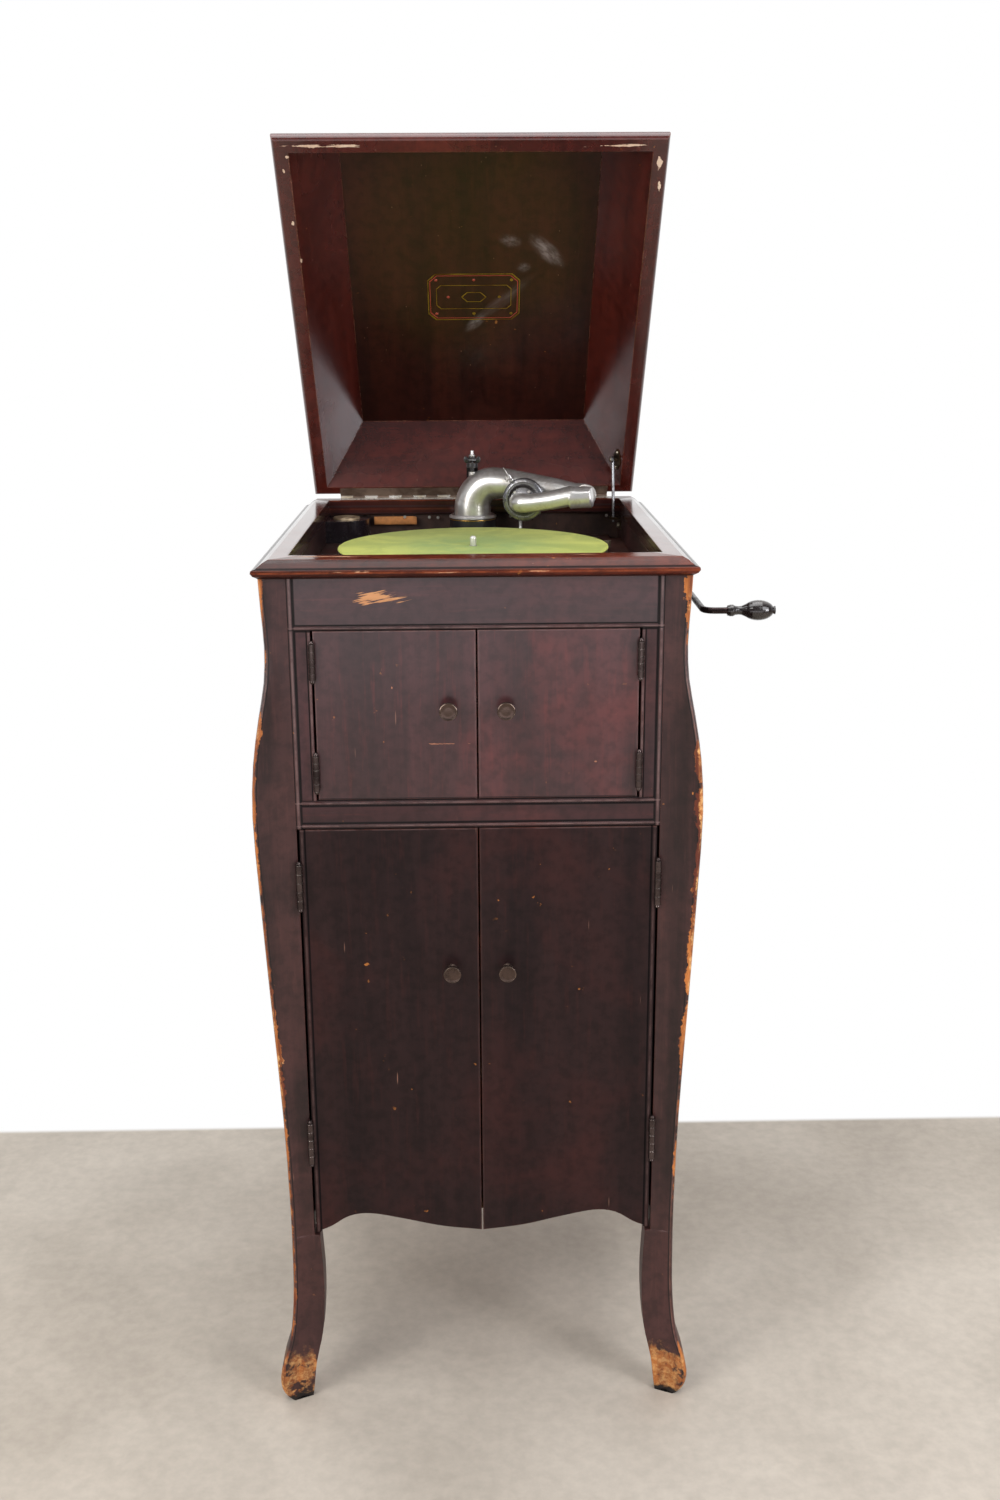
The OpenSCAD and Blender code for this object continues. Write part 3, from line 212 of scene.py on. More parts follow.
def vector(operation, a, b=(0, 0, 0)):
    made = put("VectorMath", {"operation": operation}, i0=a, i1=b)
    return made.outputs["Value" if operation in ("DOT_PRODUCT", "LENGTH") else "Vector"]


def axes(place):
    return put("SeparateXYZ", i0=place).outputs


def mapped(place, kind="TEXTURE", **layout):
    return put("Mapping", {"vector_type": kind}, Vector=place, **layout).outputs[0]


def span(value, low, high, to_low=0.0, to_high=1.0, smooth=True):
    """Maps value from low..high to to_low..to_high, held at both ends."""
    settings = {"interpolation_type": "SMOOTHSTEP" if smooth else "LINEAR", "clamp": True}
    return put("MapRange", settings, i0=value, i1=low, i2=high, i3=to_low, i4=to_high).outputs[0]


def blend(factor, a, b, mode="MIX"):
    settings = {"data_type": "RGBA", "blend_type": mode}
    return put("Mix", settings, i0=factor, i6=a, i7=b).outputs[2]


def noise(place, scale, detail, rough=0.55, distortion=0.0):
    return put("TexNoise", Vector=place, Scale=scale, Detail=detail, Roughness=rough,
               Distortion=distortion).outputs["Fac"]


def bump(height, strength, distance, **normal):
    return put("Bump", Strength=strength, Distance=distance, Height=height, **normal).outputs[0]


def group(name, inputs, outputs):
    """A new node group; inputs and outputs give each socket's name and kind."""
    tree = Bench.tree = bpy.data.node_groups.new(name, "ShaderNodeTree")
    for way, sockets in (("INPUT", inputs), ("OUTPUT", outputs)):
        for label, kind in sockets.items():
            tree.interface.new_socket(label, in_out=way, socket_type=f"NodeSocket{kind}")
    return tree, tree.nodes.new("NodeGroupInput").outputs, tree.nodes.new("NodeGroupOutput")


def use(shared, place, **sockets):
    return put("Group", {"node_tree": shared}, Place=place, **sockets).outputs


# ---- shared effects ----


def make_wood_figure():
    """Grain of polished wood: Vector is drawn out along the grain, Place is the true place."""
    tree, given, result = group(
        "wood_figure",
        {"Vector": "Vector", "Place": "Vector", "Dark": "Color", "Mid": "Color",
         "Light": "Color", "Blotch": "Float"},
        {"Colour": "Color", "Pores": "Float", "Tone": "Float"},
    )
    flow = noise(given["Vector"], 22, 5, 0.6, 0.6)
    streak = noise(given["Vector"], 160, 3, 0.7)
    cloud = noise(given["Place"], 5.5, 4, 0.6, 0.4)
    mottle = noise(given["Place"], 90, 3, 0.6)
    body = blend(span(flow, 0.35, 0.68), given["Dark"], given["Mid"])
    patch = times(span(cloud, 0.46, 0.68), given["Blotch"])
    body = blend(patch, body, given["Light"])
    body = blend(span(streak, 0.52, 0.72, 0, 0.26), body, given["Light"])
    body = blend(1.0, body, span(mottle, 0.3, 0.62, 0.72, 1.12), "MULTIPLY")
    feed(result, Colour=body, Pores=span(streak, 0.28, 0.45), Tone=cloud)
    return tree


def make_edge_wear():
    """Wear where two faces meet, and the rounded normal of that edge."""
    tree, given, result = group(
        "edge_wear", {"Place": "Vector", "Radius": "Float", "Amount": "Float"},
        {"Mask": "Float", "Normal": "Vector"},
    )
    rounded = put("Bevel", {"samples": 4}, Radius=given["Radius"]).outputs[0]
    true = put("NewGeometry").outputs["Normal"]
    bend = minus(1.0, vector("DOT_PRODUCT", rounded, true))
    ragged = span(noise(given["Place"], 55, 5, 0.7), 0.38, 0.66)
    mask = times(span(bend, 0.01, 0.2), given["Amount"])
    mask = times(mask, plus(ragged, 0.15), True)
    feed(result, Mask=mask, Normal=rounded)
    return tree


def make_scuffs():
    """A few fine scratches and small chips."""
    tree, given, result = group(
        "scuffs", {"Place": "Vector", "Amount": "Float"}, {"Lines": "Float", "Chips": "Float"}
    )
    place, lines = given["Place"], []
    for turn, seed in ((0.5, 3.1), (-0.9, 8.4)):
        tilted = mapped(place, "POINT", Location=(seed, seed * 0.7, seed * 1.3),
                        Rotation=(0.3 * turn, turn, 0.2), Scale=(62, 62, 5))
        cells = put("TexVoronoi", Vector=tilted, Scale=1.0).outputs["Distance"]
        lines.append(span(cells, 0.02, 0.045, 1, 0))
    rare = span(noise(place, 14, 3, 0.6), 0.55, 0.66)
    chips = times(span(noise(place, 130, 2, 0.5), 0.71, 0.76), rare)
    amount = given["Amount"]
    feed(result, Lines=times(greater(*lines), amount), Chips=times(chips, amount))
    return tree


def make_bare_patch():
    """A ragged oval patch at a stated place, and how far each point is from its middle."""
    tree, given, result = group(
        "bare_patch",
        {"Place": "Vector", "Centre": "Vector", "Reach": "Vector", "Ragged": "Float"},
        {"Mask": "Float", "Away": "Float"},
    )
    away = vector("SUBTRACT", given["Place"], given["Centre"])
    away = vector("LENGTH", vector("DIVIDE", away, given["Reach"]))
    rough = times(minus(noise(given["Place"], 120, 4, 0.65), 0.5), given["Ragged"])
    away = plus(away, times(rough, 4))
    feed(result, Mask=span(away, 0.85, 1.0, 1, 0), Away=away)
    return tree


def make_smear():
    """A soft oval smear of wiped polish, laid out by its own place, turn and size."""
    tree, given, result = group(
        "smear",
        {"Place": "Vector", "Centre": "Vector", "Turn": "Vector", "Reach": "Vector",
         "Strength": "Float"},
        {"Mask": "Float"},
    )
    laid = mapped(given["Place"], Location=given["Centre"], Rotation=given["Turn"],
                  Scale=given["Reach"])
    middle = span(vector("LENGTH", laid), 0.05, 1.0, 1, 0)
    wisps = span(noise(laid, 2.2, 4, 0.6, 0.4), 0.35, 0.68, 0.25, 1)
    feed(result, Mask=times(times(middle, wisps), given["Strength"]))
    return tree


def make_tarnish():
    """Tarnish, fingerprints and fine rubbing on plated metal."""
    tree, given, result = group(
        "tarnish", {"Place": "Vector", "Clean": "Color", "Dull": "Color"},
        {"Colour": "Color", "Film": "Float", "Fine": "Float"},
    )
    film = span(noise(given["Place"], 38, 5, 0.65, 0.5), 0.4, 0.7)
    spots = span(noise(given["Place"], 420, 3, 0.6), 0.62, 0.72)
    film = greater(film, times(spots, 0.12))
    colour = blend(film, given["Clean"], given["Dull"])
    feed(result, Colour=colour, Film=film, Fine=noise(given["Place"], 900, 2))
    return tree


def make_dust():
    """Dust that settles on what faces up."""
    tree, given, result = group(
        "dust", {"Place": "Vector", "Amount": "Float"}, {"Mask": "Float"}
    )
    facing_up = axes(put("NewGeometry").outputs["Normal"])[2]
    settled = times(span(facing_up, 0.55, 0.95), given["Amount"])
    drift = span(noise(given["Place"], 24, 5, 0.7), 0.35, 0.7)
    feed(result, Mask=times(settled, drift))
    return tree


wood_figure, edge_wear, scuffs = make_wood_figure(), make_edge_wear(), make_scuffs()
bare_patch, smear, tarnish = make_bare_patch(), make_smear(), make_tarnish()
dust = make_dust()

# ---- materials ----

BARE, BARE_RED = (196, 124, 58), (158, 74, 38)
# painted shade for the grooves of mouldings, and a painted highlight for their ridges and beads
GROOVE_SHADE, CREST_HIGHLIGHT = (10, 5, 6), (112, 88, 86)
# distances from a post's corner of the painted shade in its bead's groove and of the painted
# highlight on its crest, in millimetres
BEAD_GROOVE, BEAD_CREST = 4.7, 3.1
# heights between which a post's bare toe and its dark sole end, in metres
TOE, SOLE = (0.052, 0.066), (0.01, 0.016)
# turn and stretch of the grain, and those of the faces on which it runs the other way
GRAIN = {
    "up": ((0, 0, 0), (1, 1, 14)),
    "across": ((0, 0, 0), (14, 1, 1)),
    "frame": ((0, 0, 0), (14, 1, 1)),
    "lid": ((LID_LEAN, 0, 0), (1, 14, 1)),
}
SECOND_GRAIN = {"lid": ((LID_LEAN, 0, 0), (14, 1, 1)), "frame": ((0, 0, 0), (1, 14, 1))}


def material(name):
    made = bpy.data.materials.new(name)
    made.use_nodes = True
    Bench.tree = made.node_tree
    return made, Bench.tree.nodes["Principled BSDF"], put("TexCoord").outputs["Object"]


def grained(place, turn, stretch):
    """The place, drawn out along the grain."""
    return mapped(place, Rotation=turn, Scale=stretch)


def lid_end_walls():
    """1 on the lid's front and back walls, whose grain runs across."""
    normal = put("TexCoord").outputs["Normal"]
    ends = calc("ABSOLUTE", vector("DOT_PRODUCT", normal, lid_way(0, 1, 0)))
    sides = calc("ABSOLUTE", vector("DOT_PRODUCT", normal, (1, 0, 0)))
    return calc("GREATER_THAN", ends, plus(sides, 0.2))


def side_rails(place):
    """1 on the two side rails of the top frame, up to their mitred corners."""
    x, y, z = axes(place)
    inward = minus(TOP_HALF_WIDTH / 1000, apart(x, ORIGIN.x))
    past_front, before_back = minus(y, ORIGIN.y), minus(at(0, TOP_DEPTH, 0).y, y)
    return calc("LESS_THAN", inward, calc("MINIMUM", past_front, before_back))


def inside_well(place):
    """1 on the walls of the well, below the top frame's edge, which take painted shade."""
    x, y, z = axes(place)
    within = calc("LESS_THAN", apart(x, ORIGIN.x), WELL_HALF_WIDTH / 1000)
    for side, value, limit in (
        ("LESS_THAN", y, at(0, WELL_BACK, 0).y), ("GREATER_THAN", y, at(0, WELL_FRONT, 0).y),
        ("LESS_THAN", z, WELL_TOP / 1000),
    ):
        within = times(within, calc(side, value, limit))
    return within


def bared_spots(place, along, colour, worn, patches, bared):
    """Ragged spots of bare wood, drawn out in strokes where a patch has a slope."""
    for centre, reach, ragged, slope in patches:
        oval = use(bare_patch, place, Centre=at(*centre), Reach=Vector(reach) / 1000,
                   Ragged=ragged)
        spot = oval["Mask"]
        if slope is not None:
            strokes = grained(place, (0, slope, 0), (26, 2, 1))
            strokes = minus(noise(strokes, 820, 2, 0.6), 0.5)
            shifted = plus(oval["Away"], times(strokes, 4.4))
            spot = span(shifted, 0.72, 0.95, 1, 0)
        fibre = noise(along, 90, 3)
        bare_wood = blend(fibre, bared[0], bared[1])
        colour, worn = blend(spot, colour, bare_wood), greater(worn, spot)
    return colour, worn


def moulding_lines(place, colour, lines):
    """Painted shade along the grooves of mouldings and painted highlights along their ridges and
    beads, and where a groove takes the gloss.
    """
    dull = None
    if lines:
        x, y, z = axes(place)
        aside = apart(x, ORIGIN.x)
        broken = span(noise(place, 60, 4, 0.7), 0.36, 0.6, 0.25, 1)
    for way, where, reach, tone, strength in lines:
        gap = apart(aside if way == "x" else z, where / 1000)
        line = span(gap, reach * 0.3 / 1000, reach / 1000, strength, 0)
        if tone == GROOVE_SHADE:
            dull = greater(dull, line) if dull else line
        else:
            line = times(line, broken)
        # a line in the groove tone paints shade into a groove; the other lines paint highlights
        # along ridges and beads
        colour = blend(line, colour, tone)
    return colour, dull


def rubbed_corner(place, along, colour, worn):
    """A post's bead with painted shade in its groove and a painted highlight on its crest, its
    rubbed corner, bare toe and dark sole.
    """
    corner, rubbing = (
        put("Attribute", {"attribute_name": name}).outputs["Fac"]
        for name in ("corner_mm", "wear_mm")
    )
    wander, fray = noise(place, 34, 5, 0.7), noise(place, 170, 4, 0.65)
    # painted shade in the bead's groove
    groove_shade = span(apart(corner, BEAD_GROOVE), 0.3, 1.0, 0.85, 0)
    colour = blend(groove_shade, colour, GROOVE_SHADE)
    # a painted highlight on the bead's crest
    crest_highlight = span(apart(corner, BEAD_CREST), 0.2, 1.1, 0.6, 0)
    crest_highlight = times(crest_highlight, span(wander, 0.35, 0.6))
    colour = blend(crest_highlight, colour, (126, 86, 74))
    reach = times(rubbing, span(wander, 0.34, 0.66, 0.4, 2.0, False))
    jag = times(minus(fray, 0.5), 1.6)
    reach = plus(reach, times(jag, rubbing))
    inside = span(minus(corner, reach), -0.5, 0.4, 1, 0)
    inner = span(minus(corner, times(reach, 0.5)), -1, 0.8, 1, 0)
    fibre = span(noise(along, 80, 4, 0.65), 0.38, 0.62)
    rubbed = blend(fibre, (98, 42, 24), (196, 118, 56))
    deep = blend(span(fray, 0.35, 0.68), (180, 104, 48), (232, 182, 116))
    bright = times(inner, span(noise(place, 20, 3), 0.44, 0.58))
    rubbed = blend(bright, rubbed, deep)
    colour, worn = blend(inside, colour, rubbed), greater(worn, inside)
    height = axes(place)[2]
    foot = plus(height, times(minus(wander, 0.5), 0.06))
    foot = times(span(foot, *TOE, 1, 0), span(noise(place, 48, 4, 0.6), 0.42, 0.5))
    colour = blend(times(foot, 0.9), colour, blend(fray, rubbed, deep))
    sole = span(plus(height, times(fray, 0.012)), *SOLE, 1, 0)
    return blend(sole, colour, (30, 24, 22)), greater(worn, foot)


def polished_wood(
    name, dark, mid, light, grain, blotch, gloss, wear, wear_reach=0.0022, scratch=0.4,
    bare=BARE_RED, patches=(), settled=0.0, coat=0.25, strip=False, shine=0.5,
    bared=((150, 82, 44), (224, 168, 110)), smears=(), lines=(), shaded_well=False, pore=0.18,
):
    """Old varnished wood, its places in cabinet millimetres. patches are (centre, reach,
    ragged, slope of their strokes) of bare spots, smears are (centre, reach, lean, strength),
    lines are (way, where, reach, tone, strength) of painted shade along grooves and painted
    highlights along ridges, strip is True for a post with a worn corner and painted bead lines,
    the walls of the well can take painted shade, and pore is the depth of the pores."""
    made, shader, place = material(name)
    along = grained(place, *GRAIN[grain])
    if grain in SECOND_GRAIN:
        second = lid_end_walls() if grain == "lid" else side_rails(place)
        other = grained(place, *SECOND_GRAIN[grain])
        along = put("Mix", {"data_type": "VECTOR"}, i0=second, i4=along, i5=other).outputs[1]
    figure = use(wood_figure, place, Vector=along, Dark=dark, Mid=mid, Light=light, Blotch=blotch)
    edge = use(edge_wear, place, Radius=wear_reach, Amount=wear)
    marks = use(scuffs, place, Amount=scratch)
    colour = blend(edge["Mask"], figure["Colour"], bare)
    colour = blend(marks["Lines"], colour, (150, 110, 92))
    colour = blend(marks["Chips"], colour, BARE)
    colour, worn = bared_spots(place, along, colour, edge["Mask"], patches, bared)
    for centre, reach, lean, strength in smears:
        laid = Matrix.Rotation(LID_LEAN, 3, "X") @ Matrix.Rotation(lean, 3, "Z")
        wiped = use(smear, place, Centre=at(*centre), Turn=Vector(laid.to_euler()),
                    Reach=Vector(reach) / 1000, Strength=strength)["Mask"]
        colour = blend(wiped, colour, (190, 180, 178))
    colour, dull = moulding_lines(place, colour, lines)
    if shaded_well:
        # painted shade on the walls inside the well, below the top frame's edge
        stain_and_shade = times(inside_well(place), 0.68)
        colour = blend(stain_and_shade, colour, (46, 26, 28))
    if strip:
        colour, worn = rubbed_corner(place, along, colour, worn)
    if settled:
        fall = use(dust, place, Amount=settled)["Mask"]
        colour = blend(fall, colour, (168, 158, 150))
    sheen = span(figure["Tone"], 0.3, 0.7, gloss - 0.06, gloss + 0.1)
    sheen = plus(sheen, times(worn, 0.25), True)
    glaze = coat
    if dull:
        sheen = plus(sheen, times(dull, 0.6), True)
    if grain == "frame":
        # hands have rubbed the front rail dull
        glaze = times(second, coat)
    elif dull and coat:
        glaze = times(minus(1.0, dull), coat)
    pores = minus(figure["Pores"], times(worn, 1.5))
    feed(shader, Base_Color=colour, Roughness=sheen, Coat_Weight=glaze,
         Normal=bump(pores, pore, 0.0004, Normal=edge["Normal"]),
         Coat_Roughness=0.16, IOR=1.48, Specular_IOR_Level=shine)
    return made


def plated(name, clean, dull, rough, dull_rough, metallic=1.0, edge=0.0, settled=0.0,
           rubbed=(214, 196, 150), fine=0.014):
    """Plated or plain metal with a film of tarnish; edge brightens its corners in the colour
    rubbed, which is rubbed metal and, on the knobs and hinges, also a painted highlight.
    """
    made, shader, place = material(name)
    film = use(tarnish, place, Clean=clean, Dull=dull)
    colour = film["Colour"]
    sheen = span(film["Film"], 0, 1, rough, dull_rough, False)
    if edge:
        rub_and_highlight = use(edge_wear, place, Radius=0.0008, Amount=edge)
        # corners brightened as rubbed metal, and on the knobs and hinges also as painted highlights
        colour = blend(rub_and_highlight["Mask"], colour, rubbed)
    if settled:
        fall = use(dust, place, Amount=settled)["Mask"]
        colour = blend(fall, colour, (150, 142, 128))
        sheen = plus(sheen, times(fall, 0.4), True)
    feed(shader, Base_Color=colour, Roughness=sheen, Metallic=metallic,
         Normal=bump(film["Fine"], fine, 0.0001))
    return made


def lacquered(name, base, rubbed, rough, coat=0.4):
    """Dark lacquer with rubbed edges and dust."""
    made, shader, place = material(name)
    edge = use(edge_wear, place, Radius=0.0015, Amount=0.7)
    haze = noise(place, 60, 4, 0.6)
    colour = blend(haze, base, [v * 1.5 + 4 for v in base])
    colour = blend(edge["Mask"], colour, rubbed)
    fall = use(dust, place, Amount=0.35)["Mask"]
    colour = blend(fall, colour, (120, 112, 104))
    feed(shader, Base_Color=colour, Coat_Weight=coat, Coat_Roughness=0.1,
         Roughness=span(haze, 0.3, 0.7, rough - 0.05, rough + 0.14),
         Normal=bump(haze, 0.08, 0.0002, Normal=edge["Normal"]))
    return made


def felt_cloth():
    """Green felt, faded in its middle and paler at its rim."""
    made, shader, place = material("green_felt")
    centred = mapped(place, "POINT", Location=-(ORIGIN + Vector((*SPINDLE, 0)) / 1000))
    radius = vector("LENGTH", vector("MULTIPLY", centred, (1, 1, 0)))
    nap = noise(place, 1400, 3, 0.7)
    cloud = span(noise(place, 16, 5, 0.6, 0.8), 0.35, 0.68)
    rubbed = noise(place, 46, 4, 0.65)
    colour = blend(cloud, (177, 188, 96), (205, 211, 110))
    middle = span(radius, 0.03, 0.13, 1, 0)
    middle = times(middle, span(rubbed, 0.3, 0.7, 0.45, 1))
    colour = blend(times(middle, 0.8), colour, (152, 182, 112))
    rim = times(span(radius, 0.147, 0.1525), 0.7)
    colour = blend(rim, colour, (212, 218, 112))
    colour = blend(1.0, colour, span(nap, 0.2, 0.8, 0.78, 1.12), "MULTIPLY")
    fluff = plus(nap, times(rubbed, 0.6))
    feed(shader, Base_Color=colour, Roughness=0.95, Sheen_Weight=0.08,
         Normal=bump(fluff, 0.5, 0.0006), Sheen_Roughness=0.5, Specular_IOR_Level=0.1)
    return made


FINISH_OF = {}


def cover(names, finish):
    """Gives the CAD nodes of these names their finish."""
    for name in names.split():
        nodes[name].data.materials.clear()
        nodes[name].data.materials.append(finish)
        FINISH_OF[name] = finish
    return finish


# the lines of the woods below paint shade into grooves and highlights along ridges and beads
cover("upper_door_left upper_door_right", polished_wood(
    "upper_door_veneer", (46, 26, 28), (68, 38, 40), (102, 42, 40), "up", 0.55, 0.36, 0.25,
    coat=0.35, bared=((120, 70, 52), (170, 116, 88)),
    patches=[((-33, 14, 762), (15, 8, 0.5), 0.05, 0.38), ((118, 14, 742), (1.5, 8, 1), 0.4, None),
             ((-84, 14, 820), (1, 8, 1.6), 0.4, None)],
    lines=[("x", 1.9, 1.0, CREST_HIGHLIGHT, 0.4), ("z", 876.4, 0.9, CREST_HIGHLIGHT, 0.5),
           ("z", 705.8, 0.9, GROOVE_SHADE, 0.7), ("x", 159.4, 0.9, CREST_HIGHLIGHT, 0.4)],
))
# the lower doors' veneer is darker than the upper doors': partly its own tone, partly painted shade
# of the lower cabinet
cover("lower_door_left lower_door_right", polished_wood(
    "lower_door_veneer", (26, 14, 15), (38, 22, 22), (60, 27, 24), "up", 0.5, 0.44, 0.25,
    scratch=0.6, coat=0.0, shine=0.22,
    # painted highlights along the door's edge and its bead, and painted shade in the grooves beside
    # the bead
    lines=[("x", 1.9, 1.0, (70, 52, 50), 0.4), ("z", 672.2, 0.9, CREST_HIGHLIGHT, 0.4),
           ("x", 176, 1.5, GROOVE_SHADE, 0.95), ("x", 178.9, 1.5, (84, 64, 62), 0.6),
           ("x", 181.6, 0.9, GROOVE_SHADE, 0.95)],
))
cover("top_front_panel", polished_wood(
    "front_panel_veneer", (46, 27, 29), (70, 40, 43), (92, 46, 45), "across", 0.4, 0.36, 0.2,
    coat=0.4,
    patches=[((-95, 14, 910), (18, 10, 4.6), 0.16, -0.2),
             ((-109, 14, 905.4), (9, 8, 2.4), 0.2, -0.2)],
    lines=[("x", 177.8, 1.9, GROOVE_SHADE, 0.95), ("z", 882.6, 1.7, GROOVE_SHADE, 0.95)],
))
cover("middle_rail", polished_wood(
    "rail_wood", (38, 21, 22), (58, 31, 33), (86, 39, 36), "across", 0.4, 0.38, 0.2,
    coat=0.1, shine=0.4,
    lines=[("z", 698.2, 2.0, GROOVE_SHADE, 0.95), ("z", 679.8, 2.0, GROOVE_SHADE, 0.95),
           ("z", 703.6, 0.9, GROOVE_SHADE, 0.9), ("z", 674.4, 0.9, GROOVE_SHADE, 0.9),
           ("x", 177.9, 1.4, GROOVE_SHADE, 0.9)],
))
cover("front_stiles horn_slats", polished_wood(
    "stile_wood", (42, 24, 26), (62, 36, 38), (86, 42, 40), "up", 0.4, 0.4, 0.2,
    coat=0.1, shine=0.4,
    lines=[("x", 163.9, 1.5, CREST_HIGHLIGHT, 0.7), ("x", 166.1, 1.1, GROOVE_SHADE, 0.95),
           ("x", 177.8, 1.9, GROOVE_SHADE, 0.95), ("z", 877.2, 1.6, GROOVE_SHADE, 0.95)],
))
cover("front_beads", polished_wood(
    "bead_wood", (40, 21, 22), (60, 32, 32), (92, 44, 38), "up", 0.5, 0.36, 0.3, 0.0012,
    lines=[("x", 181.2, 1.5, CREST_HIGHLIGHT, 0.7), ("x", 178.6, 1.3, GROOVE_SHADE, 0.95),
           ("x", 183.9, 1.4, GROOVE_SHADE, 0.95), ("z", 880.1, 1.2, CREST_HIGHLIGHT, 0.6),
           ("z", 878.2, 0.9, GROOVE_SHADE, 0.9), ("z", 701, 1.1, CREST_HIGHLIGHT, 0.7),
           ("z", 677, 1.1, CREST_HIGHLIGHT, 0.7)],
))
cover("leg_front_left leg_front_right", polished_wood(
    "post_wood", (36, 19, 19), (60, 35, 34), (86, 50, 46), "up", 0.4, 0.4, 0.15,
    wear_reach=0.0015, scratch=0.9, strip=True, coat=0.1, shine=0.4,
    patches=[((-207, -10, 852), (7, 14, 7), 0.5, None), ((-212, 0, 420), (6, 12, 7), 0.5, None),
             ((-201, -8, 790), (1.6, 8, 2.4), 0.6, None),
             ((198, -8, 838), (2.2, 8, 3), 0.7, None)],
))
cover("leg_back_left leg_back_right", polished_wood(
    "back_post_wood", (30, 17, 18), (48, 28, 28), (70, 38, 34), "up", 0.4, 0.42, 0.15,
    wear_reach=0.0015, scratch=0.5, strip=True,
))
cover("side_panel_left side_panel_right", polished_wood(
    "side_veneer", (33, 19, 20), (52, 29, 30), (78, 36, 34), "up", 0.55, 0.36, 0.3
))
cover("back_panel", polished_wood(
    "back_board", (40, 28, 24), (60, 40, 32), (82, 52, 40), "up", 0.5, 0.6, 0.4, coat=0.0
))
# the top frame's wood paints shade on the walls inside the well
cover("top_frame", polished_wood(
    "top_moulding_wood", (42, 15, 10), (72, 26, 17), (106, 44, 27), "frame", 0.5, 0.16, 0.45,
    wear_reach=0.003, bare=(170, 88, 50), shaded_well=True, coat=0.9, shine=0.25, pore=0.1,
    bared=((176, 106, 66), (236, 206, 168)),
    patches=[((-150, 32.4, 948), (34, 1.6, 2.4), 0.1, 0.0),
             ((-128, 31, 948), (14, 2, 2.4), 0.2, 0.0),
             ((108, 32.4, 948), (10, 1.3, 2.4), 0.3, 0.0),
             ((-112, 1.4, 937), (13, 3, 1.3), 0.4, 0.0), ((62, 1.2, 936.6), (12, 3, 0.9), 0.5, 0.0),
             ((-30, 1.2, 936), (16, 3, 0.6), 0.6, 0.0)],
    # painted shade in the moulding's grooves, a painted highlight along the bulge of the ogee and a
    # faint one along the edge of the flat top
    lines=[("z", 939.9, 1.2, GROOVE_SHADE, 0.85), ("z", 936.2, 1.5, (150, 74, 44), 0.6),
           ("z", 931, 1.0, GROOVE_SHADE, 0.7), ("z", 947.4, 0.5, (130, 60, 38), 0.4)],
))
cover("lid_walls", polished_wood(
    "lid_wall_wood", (58, 18, 14), (76, 26, 20), (96, 37, 28), "lid", 0.3, 0.2, 0.55,
    wear_reach=0.0018, pore=0.03, bare=(178, 120, 92), coat=0.6,
    bared=((164, 120, 92), (240, 220, 196)),
    patches=[
        (lid_spot(x, l), reach, ragged, slope) for x, l, reach, ragged, slope in (
            (-148, 499.5, (32, 1.6, 1.6), 0.7, 0.0), (-188, 487, (3, 2, 2), 0.5, None),
            (-136, 487, (8, 0.8, 0.8), 0.4, 0.0), (152, 498.5, (22, 1.3, 1.3), 0.9, 0.0),
            (194, 478, (2.6, 7, 7), 0.7, None), (196.5, 450, (1.8, 5, 5), 0.9, None),
            (-193, 470, (1.4, 3, 3), 0.8, None), (-190, 408, (1.4, 3, 3), 0.9, None),
            (-186, 360, (1.2, 3, 3), 1.0, None),
        )
    ],
))
cover("lid_top", polished_wood(
    "lid_board_veneer", (35, 13, 11), (51, 21, 15), (68, 30, 21), "lid", 0.5, 0.34, 0.3,
    coat=0.1, shine=0.35,
    smears=[
        (lid_spot(x, l, LID_BOARD), reach, lean, strength) for x, l, reach, lean, strength in (
            (86, 318, (13, 34, 12), -0.75, 0.42), (44, 332, (16, 11, 12), 0.3, 0.2),
            (4, 218, (9, 22, 9), 0.7, 0.26), (60, 296, (10, 9, 9), 0.0, 0.18),
            (36, 250, (10, 60, 10), 0.8, 0.1),
        )
    ],
))
cover("motor_board", polished_wood(
    "motor_board_wood", (50, 20, 16), (74, 30, 22), (96, 42, 28), "across", 0.5, 0.34, 0.4,
    settled=0.15,
))
cover("horn_floor bottom_board record_shelves", polished_wood(
    "plain_wood", (112, 76, 48), (150, 108, 70), (176, 132, 88), "across", 0.4, 0.62, 0.3,
    bare=(196, 160, 118), scratch=0.2, coat=0.0,
))
cover("sound_horn", polished_wood(
    "plain_wood_upright", (104, 70, 44), (142, 100, 64), (170, 126, 84), "up", 0.4, 0.62, 0.3,
    bare=(196, 160, 118), scratch=0.2, coat=0.0,
))
strip_wood = polished_wood(
    "packing_strip_wood", (150, 92, 44), (186, 120, 62), (206, 144, 84), "across", 0.4, 0.6, 0.4,
    coat=0.0,
)
nickel = cover("spindle tonearm gooseneck needle_arm speed_lever", plated(
    "old_nickel", (226, 224, 222), (188, 182, 176), 0.29, 0.36, 0.8, fine=0.005
))
worn_nickel = cover("crank_escutcheon speed_plate turntable brake_lever", plated(
    "worn_nickel", (214, 206, 188), (156, 138, 106), 0.22, 0.46, 0.85, settled=0.2
))
dark_nickel = cover("lid_stay sound_box", plated(
    "sound_box_nickel", (150, 150, 154), (92, 88, 86), 0.22, 0.42, 0.85
))
cover("spring_barrel winding_shaft", plated(
    "machine_steel", (150, 150, 152), (92, 86, 78), 0.26, 0.5
))
brass = cover("lid_stay_guide lid_stay_bracket", plated(
    "aged_brass", (84, 66, 46), (40, 31, 26), 0.36, 0.56, 0.85, 0.35
))
cover("lid_hinge_leaf", plated(
    "lid_hinge_brass", (132, 112, 98), (92, 74, 64), 0.4, 0.6, 0.5, 0.2
))
# the knuckles' near-white, half-diffuse colour, brighter than the hinge's leaf, is a painted
# highlight of the white glints along them
cover("lid_hinge_frame_leaf", plated(
    "lid_hinge_knuckle", (240, 236, 228), (196, 182, 160), 0.22, 0.4, 0.5
))
